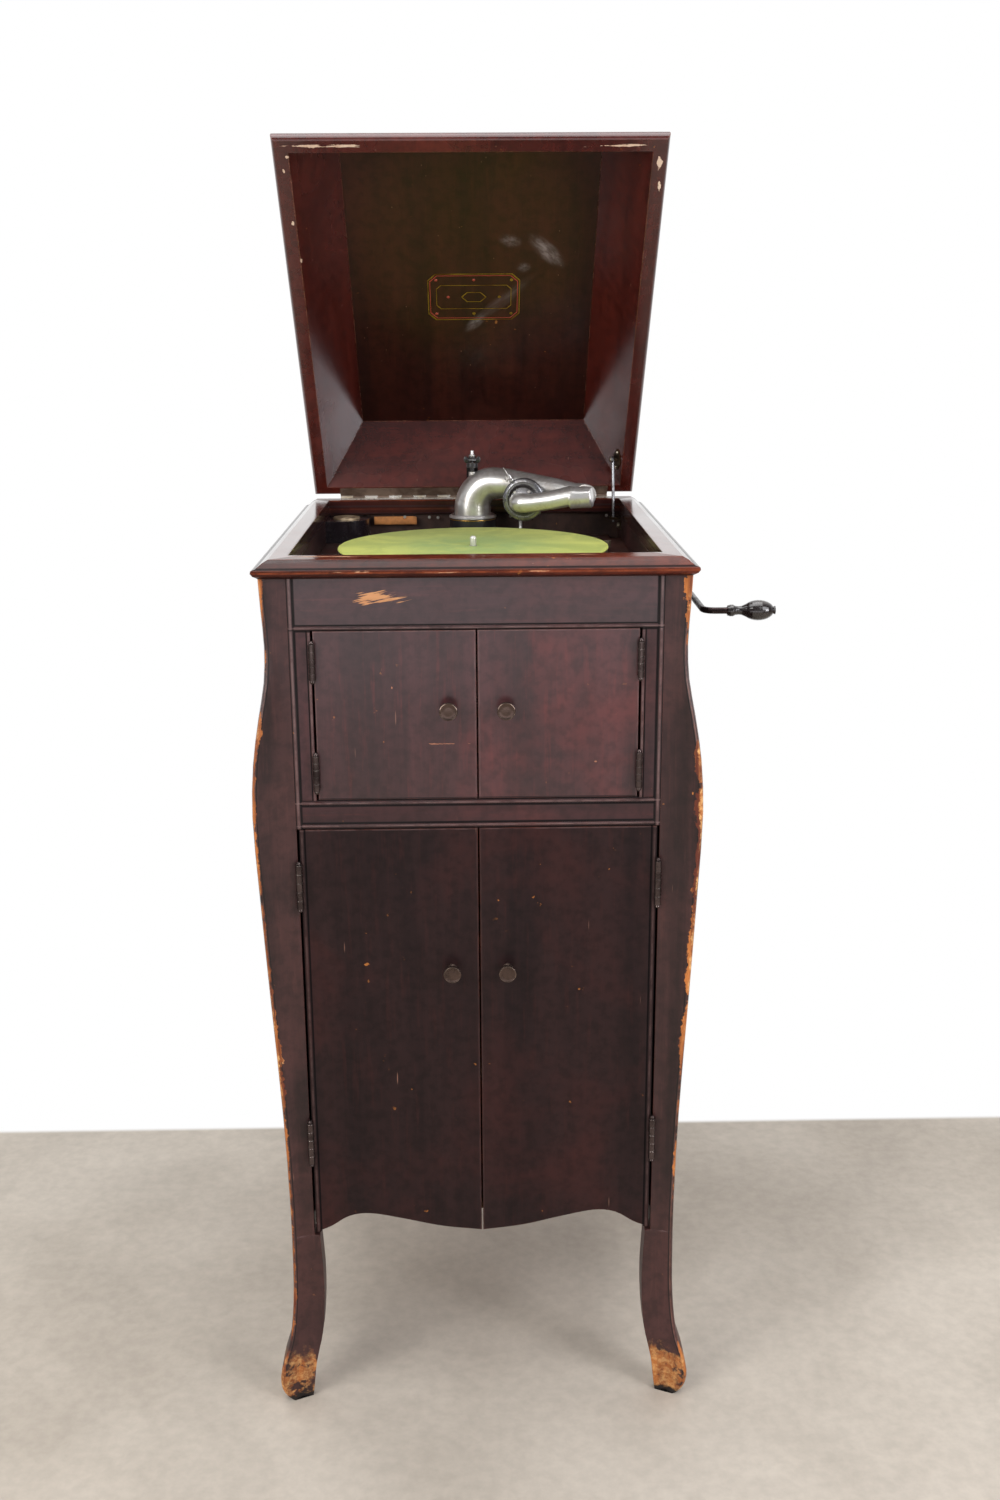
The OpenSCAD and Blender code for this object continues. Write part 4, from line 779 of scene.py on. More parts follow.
# the pin's near-white, mostly diffuse colour is partly its bright nickel, partly a painted
# highlight
pin_nickel = plated("spindle_nickel", (250, 249, 246), (214, 210, 202), 0.16, 0.3, 0.35)
dish_tan = plated("needle_dish_tan", (196, 176, 146), (150, 128, 98), 0.36, 0.55, 0.6)
cover("intermediate_gear governor", plated(
    "gear_brass", (196, 156, 88), (128, 92, 48), 0.22, 0.45
))
# the knobs' bright edges are rubbed bronze and partly painted highlights
knob_bronze = cover("knob_upper_left knob_upper_right knob_lower_left knob_lower_right", plated(
    "knob_bronze", (84, 68, 61), (54, 43, 38), 0.2, 0.36, 0.75, 0.8, rubbed=(196, 176, 156)
))
# the hinges' bright edges and ball tips are rubbed bronze and partly painted highlights
hinge_bronze = cover(
    "door_hinge_frame_leaves upper_hinges_left upper_hinges_right lower_hinges_left "
    "lower_hinges_right",
    plated("hinge_bronze", (84, 72, 70), (44, 35, 34), 0.18, 0.36, 0.8, 0.8,
           rubbed=(196, 186, 178)),
)
iron = cover("horn_elbow tonearm_base tonearm_bracket motor_frame", lacquered(
    "black_iron_lacquer", (17, 16, 17), (92, 80, 64), 0.34
))
cover("crank_handle", lacquered("black_handle", (20, 14, 13), (70, 44, 34), 0.2, 0.8))
cup_black = cover("needle_cup", lacquered(
    "needle_box_black", (20, 15, 19), (92, 84, 86), 0.2, 0.8
))
cover("crank", plated("crank_rod", (58, 46, 46), (30, 22, 22), 0.2, 0.42, 0.9, 0.3))
gilt = plated("old_gilt", (190, 148, 76), (120, 84, 42), 0.3, 0.5)
red_line = lacquered("dull_red_line", (120, 42, 30), (150, 90, 60), 0.4, 0.1)
felt = cover("turntable_felt", felt_cloth())

BODY_OF = {n: b for b, members in frame["record"]["behaviour"]["bodies"].items() for n in members}

# ---- small tools for pieces ----

UP, FORWARD, ACROSS = (0, 0, 1), (0, -1, 0), (1, 0, 0)
# points nearer than this are one
MERGE = 1e-6
# head, crown (inset and rise), half slot and slot depth of a screw, as shares of its radius
HEAD, CROWN, HALF_SLOT, SLOT_DEPTH = 0.7, (0.22, 0.28), 0.14, 0.3


def select_only(piece):
    bpy.ops.object.select_all(action="DESELECT")
    piece.select_set(True)
    bpy.context.view_layer.objects.active = piece


def settle(piece, finish, body, angle):
    """A finished piece: its place goes into its mesh, it is shaded, coloured and rides."""
    select_only(piece)
    bpy.ops.object.transform_apply(location=True, rotation=True, scale=True)
    if angle:
        bpy.ops.object.shade_smooth_by_angle(angle=math.radians(angle))
    piece.data.materials.clear()
    piece.data.materials.append(finish)
    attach(piece, body)
    piece.select_set(False)
    return piece


def stand_for(node, angle):
    """A merged, smoothly shaded copy of a CAD node, which it replaces."""
    source = nodes[node]
    piece = bpy.data.objects.new(node + "_skin", source.data.copy())
    bpy.context.collection.objects.link(piece)
    mesh = bmesh.new()
    mesh.from_mesh(piece.data)
    bmesh.ops.remove_doubles(mesh, verts=mesh.verts, dist=MERGE)
    mesh.to_mesh(piece.data)
    mesh.free()
    select_only(piece)
    if piece.data.has_custom_normals:
        bpy.ops.mesh.customdata_custom_splitnormals_clear()
    settle(piece, FINISH_OF[node], BODY_OF[node], angle)
    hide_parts(node)
    return piece


def outline(name, points, fill="NOTHING"):
    """A new piece in edit mode, all of it selected: a closed line through points, given in
    millimetres."""
    bpy.ops.mesh.primitive_circle_add(vertices=len(points), radius=0.01, fill_type=fill)
    piece = bpy.context.object
    piece.name = name
    for v, point in zip(piece.data.vertices, points):
        v.co = [k / 1000 for k in point]
    bpy.ops.object.mode_set(mode="EDIT")
    bpy.ops.mesh.select_all(action="SELECT")
    return piece


def close_up():
    """Turns all faces of the piece outwards and leaves edit mode."""
    bpy.ops.mesh.select_all(action="SELECT")
    bpy.ops.mesh.normals_make_consistent(inside=False)
    bpy.ops.object.mode_set(mode="OBJECT")


def stand(piece, place, toward, turn=0.0):
    """Stands a piece at place, its z along toward, turned round that axis."""
    lean = Vector(UP).rotation_difference(Vector(toward))
    piece.rotation_mode = "QUATERNION"
    piece.rotation_quaternion = lean @ Matrix.Rotation(turn, 3, "Z").to_quaternion()
    piece.location = place


def lay(piece, place, across, facing):
    """Lays a piece at place, its x along across and its z along facing."""
    x_way, z_way = Vector(across).normalized(), Vector(facing).normalized()
    laid = Matrix((x_way, z_way.cross(x_way), z_way)).transposed().to_4x4()
    laid.translation = place
    piece.matrix_world = laid


def turned(name, profile, place, toward, finish, body, steps, angle=40):
    """A lathe-turned piece: profile [(radius, height)] in millimetres is spun round an axis."""
    piece = outline(name, [(r, 0, h) for r, h in profile])
    bpy.ops.mesh.spin(steps=steps, angle=math.tau, center=(0, 0, 0), axis=(0, 0, 1))
    bpy.ops.mesh.select_all(action="SELECT")
    bpy.ops.mesh.remove_doubles(threshold=MERGE)
    bpy.ops.mesh.delete_loose()
    close_up()
    stand(piece, place, toward)
    return settle(piece, finish, body, angle)


def shaped(name, corners, thick, place, across, facing, finish, body, bevel=0.0003):
    """A flat plate: its outline in millimetres, extruded, bevelled and laid at place."""
    piece = outline(name, [(x, y, 0) for x, y in corners], "NGON")
    bpy.ops.mesh.extrude_region_move(TRANSFORM_OT_translate={"value": (0, 0, thick / 1000)})
    close_up()
    edge = piece.modifiers.new("edge", "BEVEL")
    edge.width, edge.segments, edge.limit_method = bevel, 2, "ANGLE"
    bpy.context.view_layer.objects.active = piece
    bpy.ops.object.modifier_apply(modifier=edge.name)
    lay(piece, place, across, facing)
    return settle(piece, finish, body, 30)


def choose_faces(piece, rule):
    """Selects the faces that look up and that the rule picks by their middle and the top."""
    mesh = bmesh.from_edit_mesh(piece.data)
    top = max(v.co.z for v in mesh.verts)
    for face in mesh.faces:
        face.select = face.normal.z > 0.9 and rule(face.calc_center_median(), top)
    bmesh.update_edit_mesh(piece.data)


def screw(name, place, toward, radius, body, finish, turn=0.4):
    """A slotted round-head screw, its head standing on the surface at place."""
    r = radius / 1000
    bpy.ops.mesh.primitive_cylinder_add(vertices=24, radius=r, depth=r * HEAD)
    piece = bpy.context.object
    piece.name = name
    bpy.ops.object.mode_set(mode="EDIT")
    choose_faces(piece, lambda middle, top: True)
    bpy.ops.mesh.inset(thickness=r * CROWN[0], depth=r * CROWN[1])
    half = r * HALF_SLOT
    for y in (half, -half):
        bpy.ops.mesh.select_all(action="SELECT")
        bpy.ops.mesh.bisect(plane_co=(0, y, 0), plane_no=(0, 1, 0))
    choose_faces(piece, lambda middle, top: middle.z > top - MERGE and abs(middle.y) < half)
    bpy.ops.mesh.extrude_region_move(TRANSFORM_OT_translate={"value": (0, 0, -r * SLOT_DEPTH)})
    bpy.ops.object.mode_set(mode="OBJECT")
    stand(piece, place, toward, turn)
    return settle(piece, finish, body, 30)


# ---- posts, with the distance from their worn corner ----

# a post bends out into its foot below this height, in millimetres; where it is wider than
# WIDE its inner edge is rubbed too, less and less towards that height
FOOT_TOP, WIDE = 205, 0.008


def worn_leg(node, side_sign, front_sign, rubbing):
    """A post whose points know how far they stand from the corner that takes the knocks,
    and how wide it is rubbed there: rubbing is [(height, width)] in millimetres."""
    piece = stand_for(node, 30)
    rings = {}
    for v in piece.data.vertices:
        rings.setdefault(round(v.co.z * 1000), []).append(v.co)
    outer = {z: max(side_sign * p.x for p in ring) for z, ring in rings.items()}
    inner = {z: min(side_sign * p.x for p in ring) for z, ring in rings.items()}
    front = {z: max(front_sign * p.y for p in ring) for z, ring in rings.items()}
    distance = piece.data.attributes.new("corner_mm", "FLOAT", "POINT")
    width = piece.data.attributes.new("wear_mm", "FLOAT", "POINT")
    for v in piece.data.vertices:
        z = round(v.co.z * 1000)
        away_front = front[z] - front_sign * v.co.y
        gap = math.hypot(outer[z] - side_sign * v.co.x, away_front)
        if z < FOOT_TOP and outer[z] - inner[z] > WIDE:
            fading = 0.002 + 0.03 * (max(z, 0) / FOOT_TOP) ** 4
            gap = min(gap, math.hypot(side_sign * v.co.x - inner[z], away_front) + fading)
        distance.data[v.index].value = gap * 1000
        for (z0, w0), (z1, w1) in zip(rubbing, rubbing[1:]):
            if z0 <= z <= z1:
                width.data[v.index].value = w0 + (w1 - w0) * (z - z0) / (z1 - z0)
    return piece


worn_leg("leg_front_left", -1, -1, [
    (-1, 7), (60, 2.6), (215, 2.4), (228, 5), (240, 3.2), (340, 2.6), (404, 3.4), (424, 5),
    (478, 3.8), (512, 2.2), (647, 3.2), (700, 2.2), (749, 3), (764, 4), (785, 3.4), (797, 0.8),
    (840, 1), (852, 3), (866, 1.4), (895, 1.8), (931, 2.6),
])
worn_leg("leg_front_right", 1, -1, [
    (-1, 7), (60, 2), (97, 1), (168, 1), (291, 1.4), (302, 3.4), (345, 3), (352, 1.4), (375, 3),
    (436, 3.6), (516, 4.4), (600, 4.2), (660, 3.6), (672, 5.2), (745, 5.6), (756, 4), (766, 1.2),
    (812, 0.8), (858, 0.4), (866, 2.4), (890, 2.8), (898, 6), (931, 6.4),
])
worn_leg("leg_back_left", -1, 1, [(-1, 5), (60, 2), (931, 2)])
worn_leg("leg_back_right", 1, 1, [(-1, 5), (60, 2), (931, 2)])

# ---- machine ----

SKINS = {
    name: stand_for(name, 38)
    for name in (
        "tonearm", "gooseneck", "sound_horn", "horn_elbow", "tonearm_bracket", "tonearm_base"
    )
}
# the seat of the arm stands a little taller, in millimetres: its lip ring and the top of the
# base rise
SEAT_RISE = 3.4
LIP_HEIGHTS, LIP_INSIDE, BASE_TOP = (0.9271, 0.9309), 0.0245, (0.9265, 0.9275)
# the neck's straight leg and its end are a little stouter than the joint: where they begin
# and how much they swell
LEG_SIDE, LEG_END, LEG_SWELL = -0.0275, 0.131, 0.0012


def reshape(piece, chosen, shift):
    """Moves the points that the rule chosen picks, or swells them if shift is a number."""
    select_only(piece)
    bpy.ops.object.mode_set(mode="EDIT")
    mesh = bmesh.from_edit_mesh(piece.data)
    bpy.ops.mesh.select_all(action="DESELECT")
    for v in mesh.verts:
        v.select = chosen(v.co)
    mesh.select_flush_mode()
    bmesh.update_edit_mesh(piece.data)
    if isinstance(shift, float):
        bpy.ops.transform.shrink_fatten(value=shift)
    else:
        bpy.ops.transform.translate(value=shift)
    bpy.ops.object.mode_set(mode="OBJECT")
    piece.select_set(False)


arm_foot, up_arm_seat = at(*ARM_FOOT, 0), (0, 0, SEAT_RISE / 1000)
across_arm, along_arm = arm_way(0, 1, 0), arm_way(1, 0, 0)
reshape(
    SKINS["tonearm"],
    lambda p: LIP_HEIGHTS[0] < p.z < LIP_HEIGHTS[1] and (p - arm_foot).xy.length > LIP_INSIDE,
    up_arm_seat,
)
reshape(SKINS["tonearm_base"], lambda p: BASE_TOP[0] < p.z < BASE_TOP[1], up_arm_seat)
reshape(
    SKINS["gooseneck"],
    lambda p: (p - arm_foot).dot(across_arm) < LEG_SIDE and (p - arm_foot).dot(along_arm) < LEG_END,
    LEG_SWELL,
)

FELT_START = 0.005
FELT_RINGS = (0.012, 0.03, 0.055, 0.08, 0.105, 0.13, 0.146)


def make_felt_disc():
    """The turntable's felt: a cut disc with a soft edge and a hole for the pin."""
    lowest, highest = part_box("turntable_felt")
    thick = highest.z - lowest.z
    radius = (highest.x - lowest.x) / 2
    centre = at(*SPINDLE, 0)
    bpy.ops.mesh.primitive_circle_add(
        vertices=160, radius=FELT_START, location=centre + Vector((0, 0, lowest.z))
    )
    piece = bpy.context.object
    piece.name = "felt_disc"
    bpy.ops.object.transform_apply(location=True)
    bpy.ops.object.mode_set(mode="EDIT")
    bpy.ops.mesh.select_all(action="SELECT")
    bpy.ops.transform.translate(value=(0, 0, thick - 0.0001))
    reach = FELT_START
    rings = [(ring, 0) for ring in (*FELT_RINGS, radius - 0.0012)]
    for ring, drop in (*rings, (radius - 0.0003, -0.0003), (radius, -thick * 0.45)):
        bpy.ops.mesh.extrude_edges_move()
        k = ring / reach
        mesh = bmesh.from_edit_mesh(piece.data)
        for v in mesh.verts:
            if v.select:
                v.co.x = centre.x + (v.co.x - centre.x) * k
                v.co.y = centre.y + (v.co.y - centre.y) * k
                v.co.z += drop
        bmesh.update_edit_mesh(piece.data)
        reach = ring
    bpy.ops.mesh.extrude_edges_move()
    mesh = bmesh.from_edit_mesh(piece.data)
    for v in mesh.verts:
        if v.select:
            v.co.z = lowest.z + 0.00005
    bmesh.update_edit_mesh(piece.data)
    close_up()
    # the felt lies a little uneven
    for v in piece.data.vertices:
        if v.co.z > lowest.z + thick * 0.8:
            wave = math.sin(31 * v.co.x + 3) * math.sin(27 * v.co.y + 1)
            v.co.z -= 0.00012 * (1 + wave)
    settle(piece, felt, "record_table", 60)
    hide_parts("turntable_felt")


make_felt_disc()

# sound box: shell, mica, gasket, groove and screws
BOX_BACK, TO_FACE, TO_BACK = box_point(0, 0, 0), box_way(0, 0, 1), box_way(0, 0, -1)
shell = turned(
    "sound_box_shell",
    [(0, 6.4), (0, 0), (8.2, 0), (8.8, 0.5), (8.8, 1.3), (11.8, 1.7), (15, 1.8), (15.4, 2.5),
     (18.8, 2.6), (19.3, 1.9), (21.2, 1.9), (21.8, 2.7), (24.3, 3.3), (25.5, 4.2), (26, 5.2),
     (26, 6.4), (25.6, 6.8), (26, 7.2), (26, 9.8), (25.3, 10.7), (24.4, 11), (22.6, 11),
     (21.9, 10.3), (21.4, 8.6), (20.8, 8.2), (20.8, 6.4), (0, 6.4)],
    BOX_BACK, TO_FACE, dark_nickel, "gooseneck", 96, 32,
)
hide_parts("sound_box")
mica = plated("mica_disc", (206, 190, 150), (150, 128, 88), 0.12, 0.3, 0.0)
for name, finish, steps, profile in (
    ("diaphragm", mica, 64, [(0, 7.5), (9, 7.55), (20.6, 7.4), (20.6, 7.0), (0, 7.0)]),
    ("diaphragm_gasket", cup_black, 64,
     [(18.9, 7.5), (19.2, 8.2), (20.2, 8.2), (20.7, 7.5), (18.9, 7.5)]),
    ("sound_box_groove", cup_black, 96,
     [(15.2, 0.9), (18.9, 0.9), (19.2, 1.6), (19.2, 2.6), (15.2, 2.6), (15, 1.6)]),
):
    turned(name, profile, BOX_BACK, TO_FACE, finish, "gooseneck", steps)
for i, angle in enumerate((-137, -52, 100)):
    x, y = 13 * math.cos(math.radians(angle)), 13 * math.sin(math.radians(angle))
    screw(f"sound_box_screw_{i + 1}", box_point(x, y, 1.4), TO_BACK, 2.2, "gooseneck", nickel,
          turn=0.5 + i)
# clamp for the needle, with its ring-headed thumb screw
REACH = (math.cos(math.radians(-125)), math.sin(math.radians(-125)))
ferrule, clamp = ([away * v for v in REACH] for away in (26.6, 30.5))
turned(
    "needle_clamp_ferrule", [(0, -0.6), (3.1, -0.6), (3.6, 0), (3.6, 2.2), (3.1, 2.8), (0, 2.8)],
    box_point(*ferrule, 10), box_way(*REACH, 0), nickel, "gooseneck", 32,
)
turned(
    "thumb_screw_stem", [(0, 0), (1.3, 0), (1.3, 2.6), (2.1, 3), (2.1, 3.8), (1.2, 4.3), (0, 4.3)],
    box_point(*clamp, 2.4), TO_BACK, nickel, "gooseneck", 24,
)
bpy.ops.mesh.primitive_torus_add(
    major_radius=0.0031, minor_radius=0.0008, major_segments=36, minor_segments=10
)
thumb_ring = bpy.context.object
thumb_ring.name = "thumb_screw_ring"
stand(thumb_ring, box_point(*clamp, -4.8), arm_way(0.35, -0.5, 0.78))
settle(thumb_ring, nickel, "gooseneck", 60)

# bright rings of the arm: seams of the neck and mouth of the tube, then the neck's end
for name, x, y, z, r, way, body in (
    ("neck_seam_ring", 147, -23.0, 963, 12.75, (0, 1, 0), "gooseneck"),
    ("neck_collar_ring", 147, -26.0, 963, 12.75, (0, 1, 0), "gooseneck"),
    ("arm_mouth_ring", 0, 0, 928.6 + SEAT_RISE, 29.2, UP, "tonearm"),
):
    ring = [(r - 0.5, -0.7), (r, -0.7), (r + 0.35, 0), (r, 0.7), (r - 0.5, 0.7), (r - 0.5, -0.7)]
    turned(name, ring, arm_point(x, y, z), arm_way(*way), nickel, body, 72)
turned(
    "neck_barrel",
    [(0, 0), (11.9, 0), (12.6, 0.4), (12.9, 1.1), (12.9, 1.9), (12.5, 2.6), (12.5, 24.4),
     (12.2, 25.8), (11.3, 27), (9.8, 27.7), (0, 28)],
    arm_point(131.5, -41.3, 961.2), arm_way(1, 0.03, 0.06), nickel, "gooseneck", 72, 32,
)

# line, nut and screw on the arm's axis
for name, place, finish, slot, steps, angle, profile in (
    ("base_gilt_line", 925.2 + SEAT_RISE, gilt, "dull_brass", 72, 40,
     [(28.4, -0.5), (28.62, -0.5), (28.8, 0), (28.62, 0.5), (28.4, 0.5), (28.4, -0.5)]),
    ("arm_pivot_screw", 1003.6, nickel, "nickel", 40, 40,
     [(0, 0), (3.6, 0), (3.9, 0.5), (3.9, 2.4), (3.2, 3.2), (2.2, 3.4), (2.2, 7.6), (1.6, 8.4),
      (0, 8.6)]),
    ("arm_lock_nut", 998.6, iron, "black_iron", 8, 20,
     [(0, 0), (5.2, 0), (6.6, 1), (6.6, 3.2), (5.6, 4.2), (0, 4.2)]),
):
    turned(name, profile, at(*ARM_FOOT, place), UP, finish, "cabinet", steps, angle)

WING = [(3, -3.2), (7, -4), (9.6, -2.6), (10.4, 1.2), (9.4, 4.4), (7.2, 5), (5.6, 2.6), (3, 2.6)]
mirrored_wing = [(-x, y) for x, y in WING[:1] + WING[:0:-1]]
for hand, corners in (("left", mirrored_wing), ("right", WING)):
    shaped(
        "lock_nut_wing_" + hand, corners, 4.4, at(ARM_FOOT[0], ARM_FOOT[1] + 2.2, 1000.2),
        ACROSS, FORWARD, iron, "cabinet", 0.001,
    )
for i in range(3):
    a = math.radians(25 + 125 * i)
    screw(
        f"base_screw_{i + 1}",
        at(ARM_FOOT[0] + 30.6 * math.cos(a), ARM_FOOT[1] + 30.6 * math.sin(a), 905.2),
        UP, 1.9, "cabinet", worn_nickel, turn=a,
    )

# motor board: screws with cup washers
BOARD_SCREWS = ((-160, 60), (160, 60), (163, 330), (-163, 330), (-60, 485), (70, 488))
for i, (x, y) in enumerate(BOARD_SCREWS):
    turned(
        f"board_washer_{i + 1}", [(0, 0), (5.4, 0), (5.2, 0.7), (3.6, 1.2), (0, 1.2)],
        at(x, y, DECK), UP, worn_nickel, "cabinet", 32,
    )
    screw(f"board_screw_{i + 1}", at(x, y, DECK + 1.3), UP, 2.8, "cabinet", worn_nickel,
          turn=0.7 * i)

# needle box: a tan dish with a hole in its middle; then the spindle's pin
turned(
    "needle_dish",
    [(5.4, -2), (5.4, 0.7), (6, 1.3), (9, 1.1), (14.4, 1.4), (15.3, 2), (16.2, 1.9), (16.7, 1.2),
     (16.7, 0), (15.9, 0), (15.7, -2)],
    at(-160, 473.4, 928), UP, dish_tan, "cabinet", 64,
)
turned(
    "spindle_pin",
    [(3.1, 0), (3.6, 0), (3.6, 8.2), (3.3, 9.2), (2.4, 10.2), (1.2, 10.7), (0, 10.8), (0, 10.2)],
    at(*SPINDLE, 922.4), UP, pin_nickel, "record_table", 40,
)

# plain wooden strip and screws on the back wall of the well, and the post before it
shaped(
    "back_packing_strip", [(-27, -5), (27, -5), (27, 4.2), (22, 5.2), (-27, 5)], 3.2,
    at(-100, 497.2, 922), ACROSS, FORWARD, strip_wood, "cabinet", 0.0005,
)
for i, place in enumerate((
    (-88, 493.2, 926.6), (-57, 496.6, 925.6), (-46, 496.6, 925), (46, 496.6, 926),
    (168, 496.6, 926),
)):
    screw(f"well_screw_{i + 1}", at(*place), FORWARD, 1.9, "cabinet", nickel, turn=0.6 * i)
turned(
    "speed_pointer_post",
    [(0, 0), (6, 0), (6, 1.2), (3.2, 2), (2.1, 4), (2.1, 24), (3, 25), (3.2, 28), (2.4, 30),
     (2.2, 34), (1.4, 35.4), (0, 35.6)],
    at(58, 478, DECK), UP, nickel, "cabinet", 32,
)

# stay of the lid: diamond plate with its screws, and the lower bolt
WALL_IN = lid_way(-0.843, 0, -0.539)
shaped(
    "stay_plate",
    [(0, -17), (3.2, -15.4), (7.4, -4), (7.4, 4), (3.2, 15.4), (0, 17), (-3.2, 15.4),
     (-7.4, 4), (-7.4, -4), (-3.2, -15.4)],
    0.8, lid_point(180.95, 53, 9.9), lid_way(-0.539, 0, 0.843), WALL_IN, brass, "lid",
)
proud = WALL_IN * 0.0011
for name, place, toward, radius, body, turn in (
    ("stay_plate_screw_1", lid_point(180.95, 40.5, 9.9) + proud, WALL_IN, 2.0, "lid", 0),
    ("stay_plate_screw_2", lid_point(180.95, 65.5, 9.9) + proud, WALL_IN, 2.0, "lid", 1),
    ("stay_pivot_nut", lid_point(173.2, 53, 9.9), (-1, 0, 0), 3.2, "lid", 0.9),
    ("stay_guide_bolt", at(182.2, 480, 916), (-1, 0, 0), 3.4, "cabinet", 0.3),
):
    screw(name, place, toward, radius, body, worn_nickel, turn)

# a plain gilt cartouche on the lid's board: three lines, a lozenge and dots; its middle
# and how far it stands up
CARTOUCHE, INLAY = (2.0, 254.6), 0.16


def inlay(name, width, height, clip, line, finish):
    """A thin closed line round a rectangle with clipped corners, on the lid's board."""
    near_corner = [(width / 2 - clip, height / 2), (width / 2, height / 2 - clip)]
    corners = []
    for sx, sy in ((1, 1), (1, -1), (-1, -1), (-1, 1)):
        pair = [(sx * x, sy * y, 0) for x, y in near_corner]
        corners += pair if sx == sy else reversed(pair)
    piece = outline(name, corners)
    bpy.ops.mesh.extrude_edges_move()
    mesh = bmesh.from_edit_mesh(piece.data)
    for v in mesh.verts:
        if v.select:
            v.co.x -= math.copysign(line / 1000, v.co.x)
            v.co.y -= math.copysign(line / 1000, v.co.y)
    bmesh.update_edit_mesh(piece.data)
    bpy.ops.mesh.select_all(action="SELECT")
    bpy.ops.mesh.extrude_region_move(TRANSFORM_OT_translate={"value": (0, 0, INLAY / 1000)})
    close_up()
    lay(piece, lid_point(*CARTOUCHE, LID_BOARD), ACROSS, lid_way(0, 0, -1))
    return settle(piece, finish, "lid", 0)


inlay("cartouche_outer_line", 108, 66, 9, 1.1, gilt)
inlay("cartouche_red_line", 103, 61, 8, 0.8, red_line)
inlay("cartouche_inner_line", 88, 34, 5, 0.7, gilt)
inlay("cartouche_lozenge", 30, 14, 6.9, 0.8, gilt)
DOTS = ((-44, 24), (44, 24), (-44, -24), (44, -24), (-30, 0), (30, 0), (0, 24), (0, -24))
for i, (x, l) in enumerate(DOTS):
    turned(
        f"cartouche_dot_{i + 1}", [(0, 0), (1.9, 0), (1.9, 0.1), (1.2, INLAY), (0, INLAY)],
        lid_point(CARTOUCHE[0] + x, CARTOUCHE[1] + l, LID_BOARD), lid_way(0, 0, -1),
        gilt if i % 2 else red_line, "lid", 24,
    )

# ---- knobs, barrels of the door hinges with their ball tips, back-panel screws ----

for name, x, z in (
    ("upper_left", -28.5, 798.7), ("upper_right", 28.5, 798.7),
    ("lower_left", -28.5, 519), ("lower_right", 28.5, 519),
):
    knob = turned(
        f"turned_knob_{name}",
        [(0, 0), (5.5, 0), (5.6, 0.6), (5.3, 1.3), (4.2, 2.4), (3.7, 4), (3.6, 8), (4.3, 9.6),
         (6.4, 11), (8.4, 12.2), (9, 13), (9.2, 14), (9.15, 15.6), (8.8, 16.4), (8.2, 16.7),
         (7.6, 16.5), (7.2, 16.3), (4, 16.5), (0, 16.6)],
        at(x, 14, z), FORWARD, knob_bronze, name + "_door", 56, 32,
    )
    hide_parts("knob_" + name)

# a ball tip's profile, from the end of the barrel outwards, and a hinge's number of knuckles
BALL_TIP = [(2.0, 0), (2.2, 0.4), (2.6, 1.3), (2.4, 2.3), (1.5, 3.3), (0, 3.7)]
KNUCKLES = 5
for row, x, heights, length in (
    ("upper", 161.25, (847, 733.9), 36), ("lower", 182.85, (613, 320), 48)
):
    step, half = length / KNUCKLES, length / 2
    barrel = [(r, -half - h) for r, h in reversed(BALL_TIP)]
    for k in range(KNUCKLES):
        start, end = -half + k * step, -half + k * step + step
        barrel += [(3.1, start + 0.1), (3.42, start + 0.5), (3.42, end - 0.5), (3.1, end - 0.1)]
    barrel += [(r, half + h) for r, h in BALL_TIP]
    for i, z in enumerate(heights):
        for hand, sign in (("left", -1), ("right", 1)):
            turned(
                f"{row}_hinge_barrel_{hand}_{i + 1}", barrel, at(sign * x, 9.7, z), UP,
                hinge_bronze, "cabinet", 28, 30,
            )
back_spots = [(x, z) for x in (-178, 178) for z in (240, 400, 560, 720, 905)]
for i, (x, z) in enumerate(back_spots):
    screw(f"back_screw_{i + 1}", at(x, 511.4, z), (0, 1, 0), 3.0, "cabinet", brass,
          i)

# ---- floor and light ----

# the white backdrop begins this far behind the front, in millimetres
BACKDROP = 600


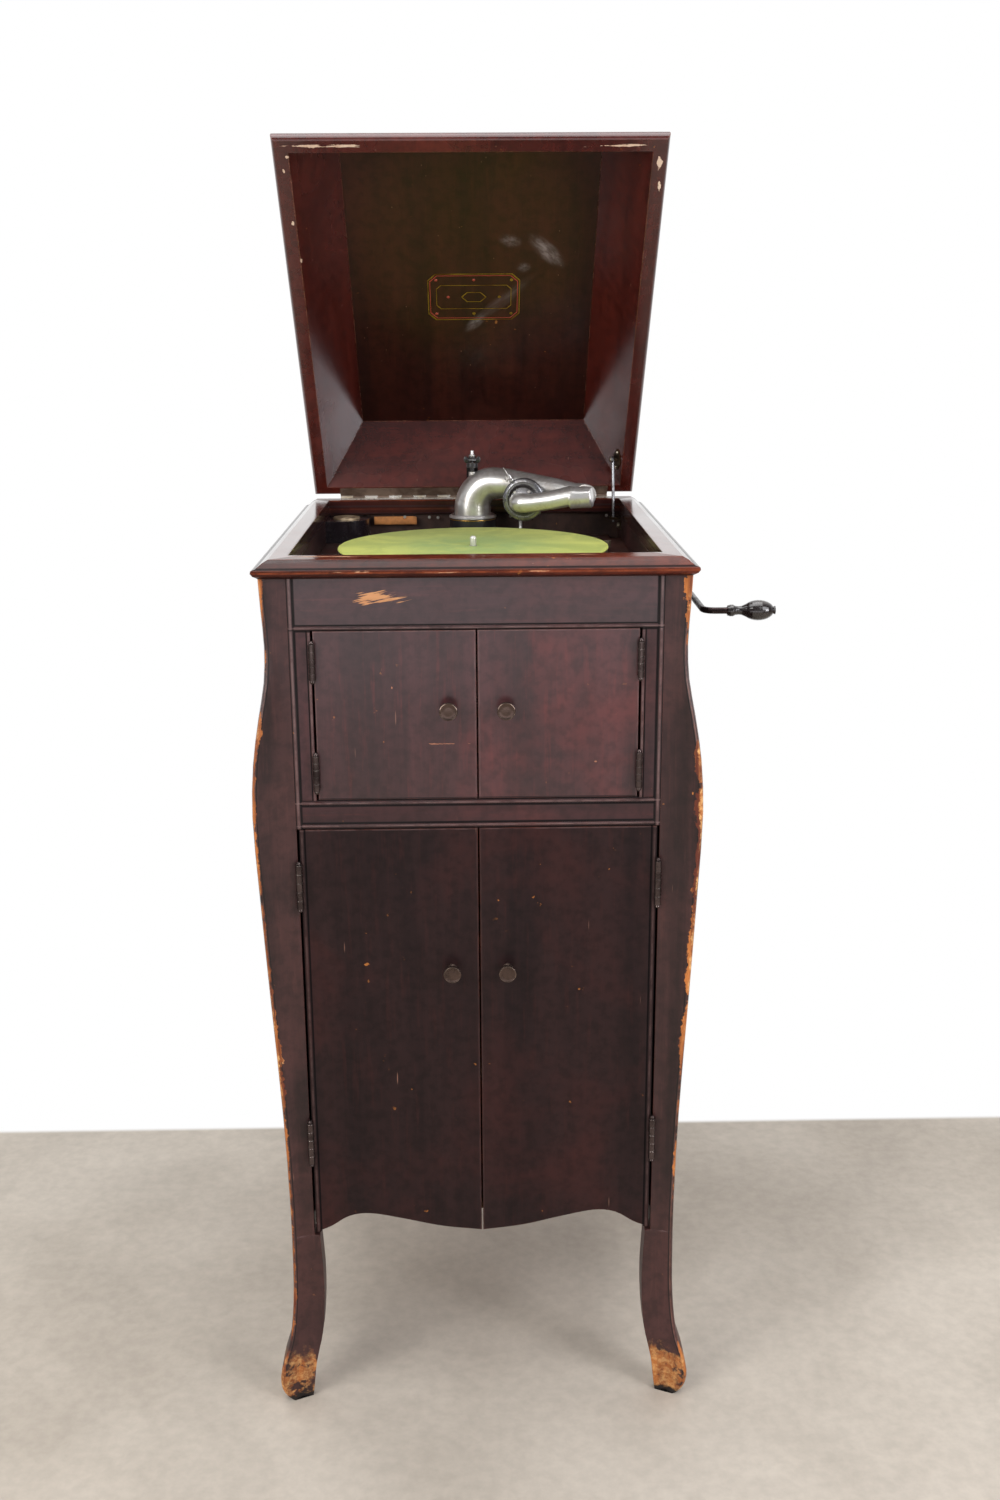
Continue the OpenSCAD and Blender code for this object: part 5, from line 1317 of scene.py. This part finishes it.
def make_floor():
    bpy.ops.mesh.primitive_plane_add(size=1, location=(0, 0, 0))
    floor = bpy.context.object
    floor.name = "studio_floor"
    floor.scale = (60, 60, 1)
    bpy.ops.object.transform_apply(scale=True)
    made, shader, place = material("pale_floor")
    fade, grit = noise(place, 1.4, 4, 0.55), noise(place, 60, 3, 0.6)
    colour = blend(span(fade, 0.3, 0.7), (172, 162, 149), (190, 181, 169))
    colour = blend(1.0, colour, span(grit, 0.2, 0.8, 0.9, 1.05), "MULTIPLY")
    stain_and_shade = span(noise(place, 5.5, 5, 0.65, 0.5), 0.3, 0.7, 0.93, 1.04)
    colour = blend(1.0, colour, stain_and_shade, "MULTIPLY")
    edge = at(0, BACKDROP, 0).y
    beyond = span(axes(place)[1], edge, edge + 0.012)
    feed(shader, Base_Color=colour, Roughness=0.6, Specular_IOR_Level=0.25)
    glow = put("Emission", Color=(1, 1, 1, 1), Strength=1.0).outputs[0]
    mixed = put("MixShader", i0=beyond, i1=shader.outputs[0], i2=glow).outputs[0]
    feed(Bench.tree.nodes["Material Output"], Surface=mixed)
    floor.data.materials.append(made)


def make_sky():
    world = bpy.data.worlds.new("studio")
    bpy.context.scene.world = world
    world.use_nodes = True
    Bench.tree = world.node_tree
    Bench.tree.nodes.clear()
    depth = axes(put("TexCoord").outputs["Generated"])[1]
    fill = span(depth, -0.4, 0.6, 0.22, 0.95)
    soft = put("Background", Color=(0.96, 0.97, 1.0, 1), Strength=fill).outputs[0]
    white = put("Background", Color=(1, 1, 1, 1), Strength=1.0).outputs[0]
    path = put("LightPath").outputs
    # metal and glass show the same white backdrop behind the object
    shown = greater(path["Is Glossy Ray"], path["Is Transmission Ray"])
    shown = times(shown, span(depth, 0.1, 0.6))
    seen = greater(path["Is Camera Ray"], shown)
    mixed = put("MixShader", i0=seen, i1=soft, i2=white).outputs[0]
    put("OutputWorld", Surface=mixed)


def lamp(name, place, aim, size, power, colour=(1, 1, 1)):
    light = bpy.data.lights.new(name, "AREA")
    light.shape, light.energy, light.color = "RECTANGLE", power, colour
    light.size, light.size_y = size
    made = bpy.data.objects.new(name, light)
    bpy.context.collection.objects.link(made)
    made.location = place
    made.visible_camera = False
    made.rotation_mode = "QUATERNION"
    made.rotation_quaternion = (Vector(aim) - Vector(place)).to_track_quat("-Z", "Y")


make_floor()
make_sky()
lamp("left_softbox", at(-1500, -1500, 2000), at(0, 200, 850), (1.3, 1.3), 31, (1, 0.985, 0.96))
lamp("right_softbox", at(1600, -1400, 1950), at(0, 200, 850), (1.3, 1.3), 23, (0.96, 0.97, 1))
lamp("left_stand_light", at(-1900, -1500, 1120), at(0, 400, 980), (0.5, 0.7), 10, (1, 0.98, 1))
lamp("right_stand_light", at(1900, -1500, 1120), at(0, 400, 980), (0.5, 0.7), 17, (0.97, 0.95, 1))
lamp("front_softbox", at(0, -2700, 560), at(0, 0, 780), (3.2, 0.8), 11, (0.98, 0.95, 1))
lamp("top_softbox", at(0, 100, 3200), at(0, 100, 800), (2.2, 2.2), 54)
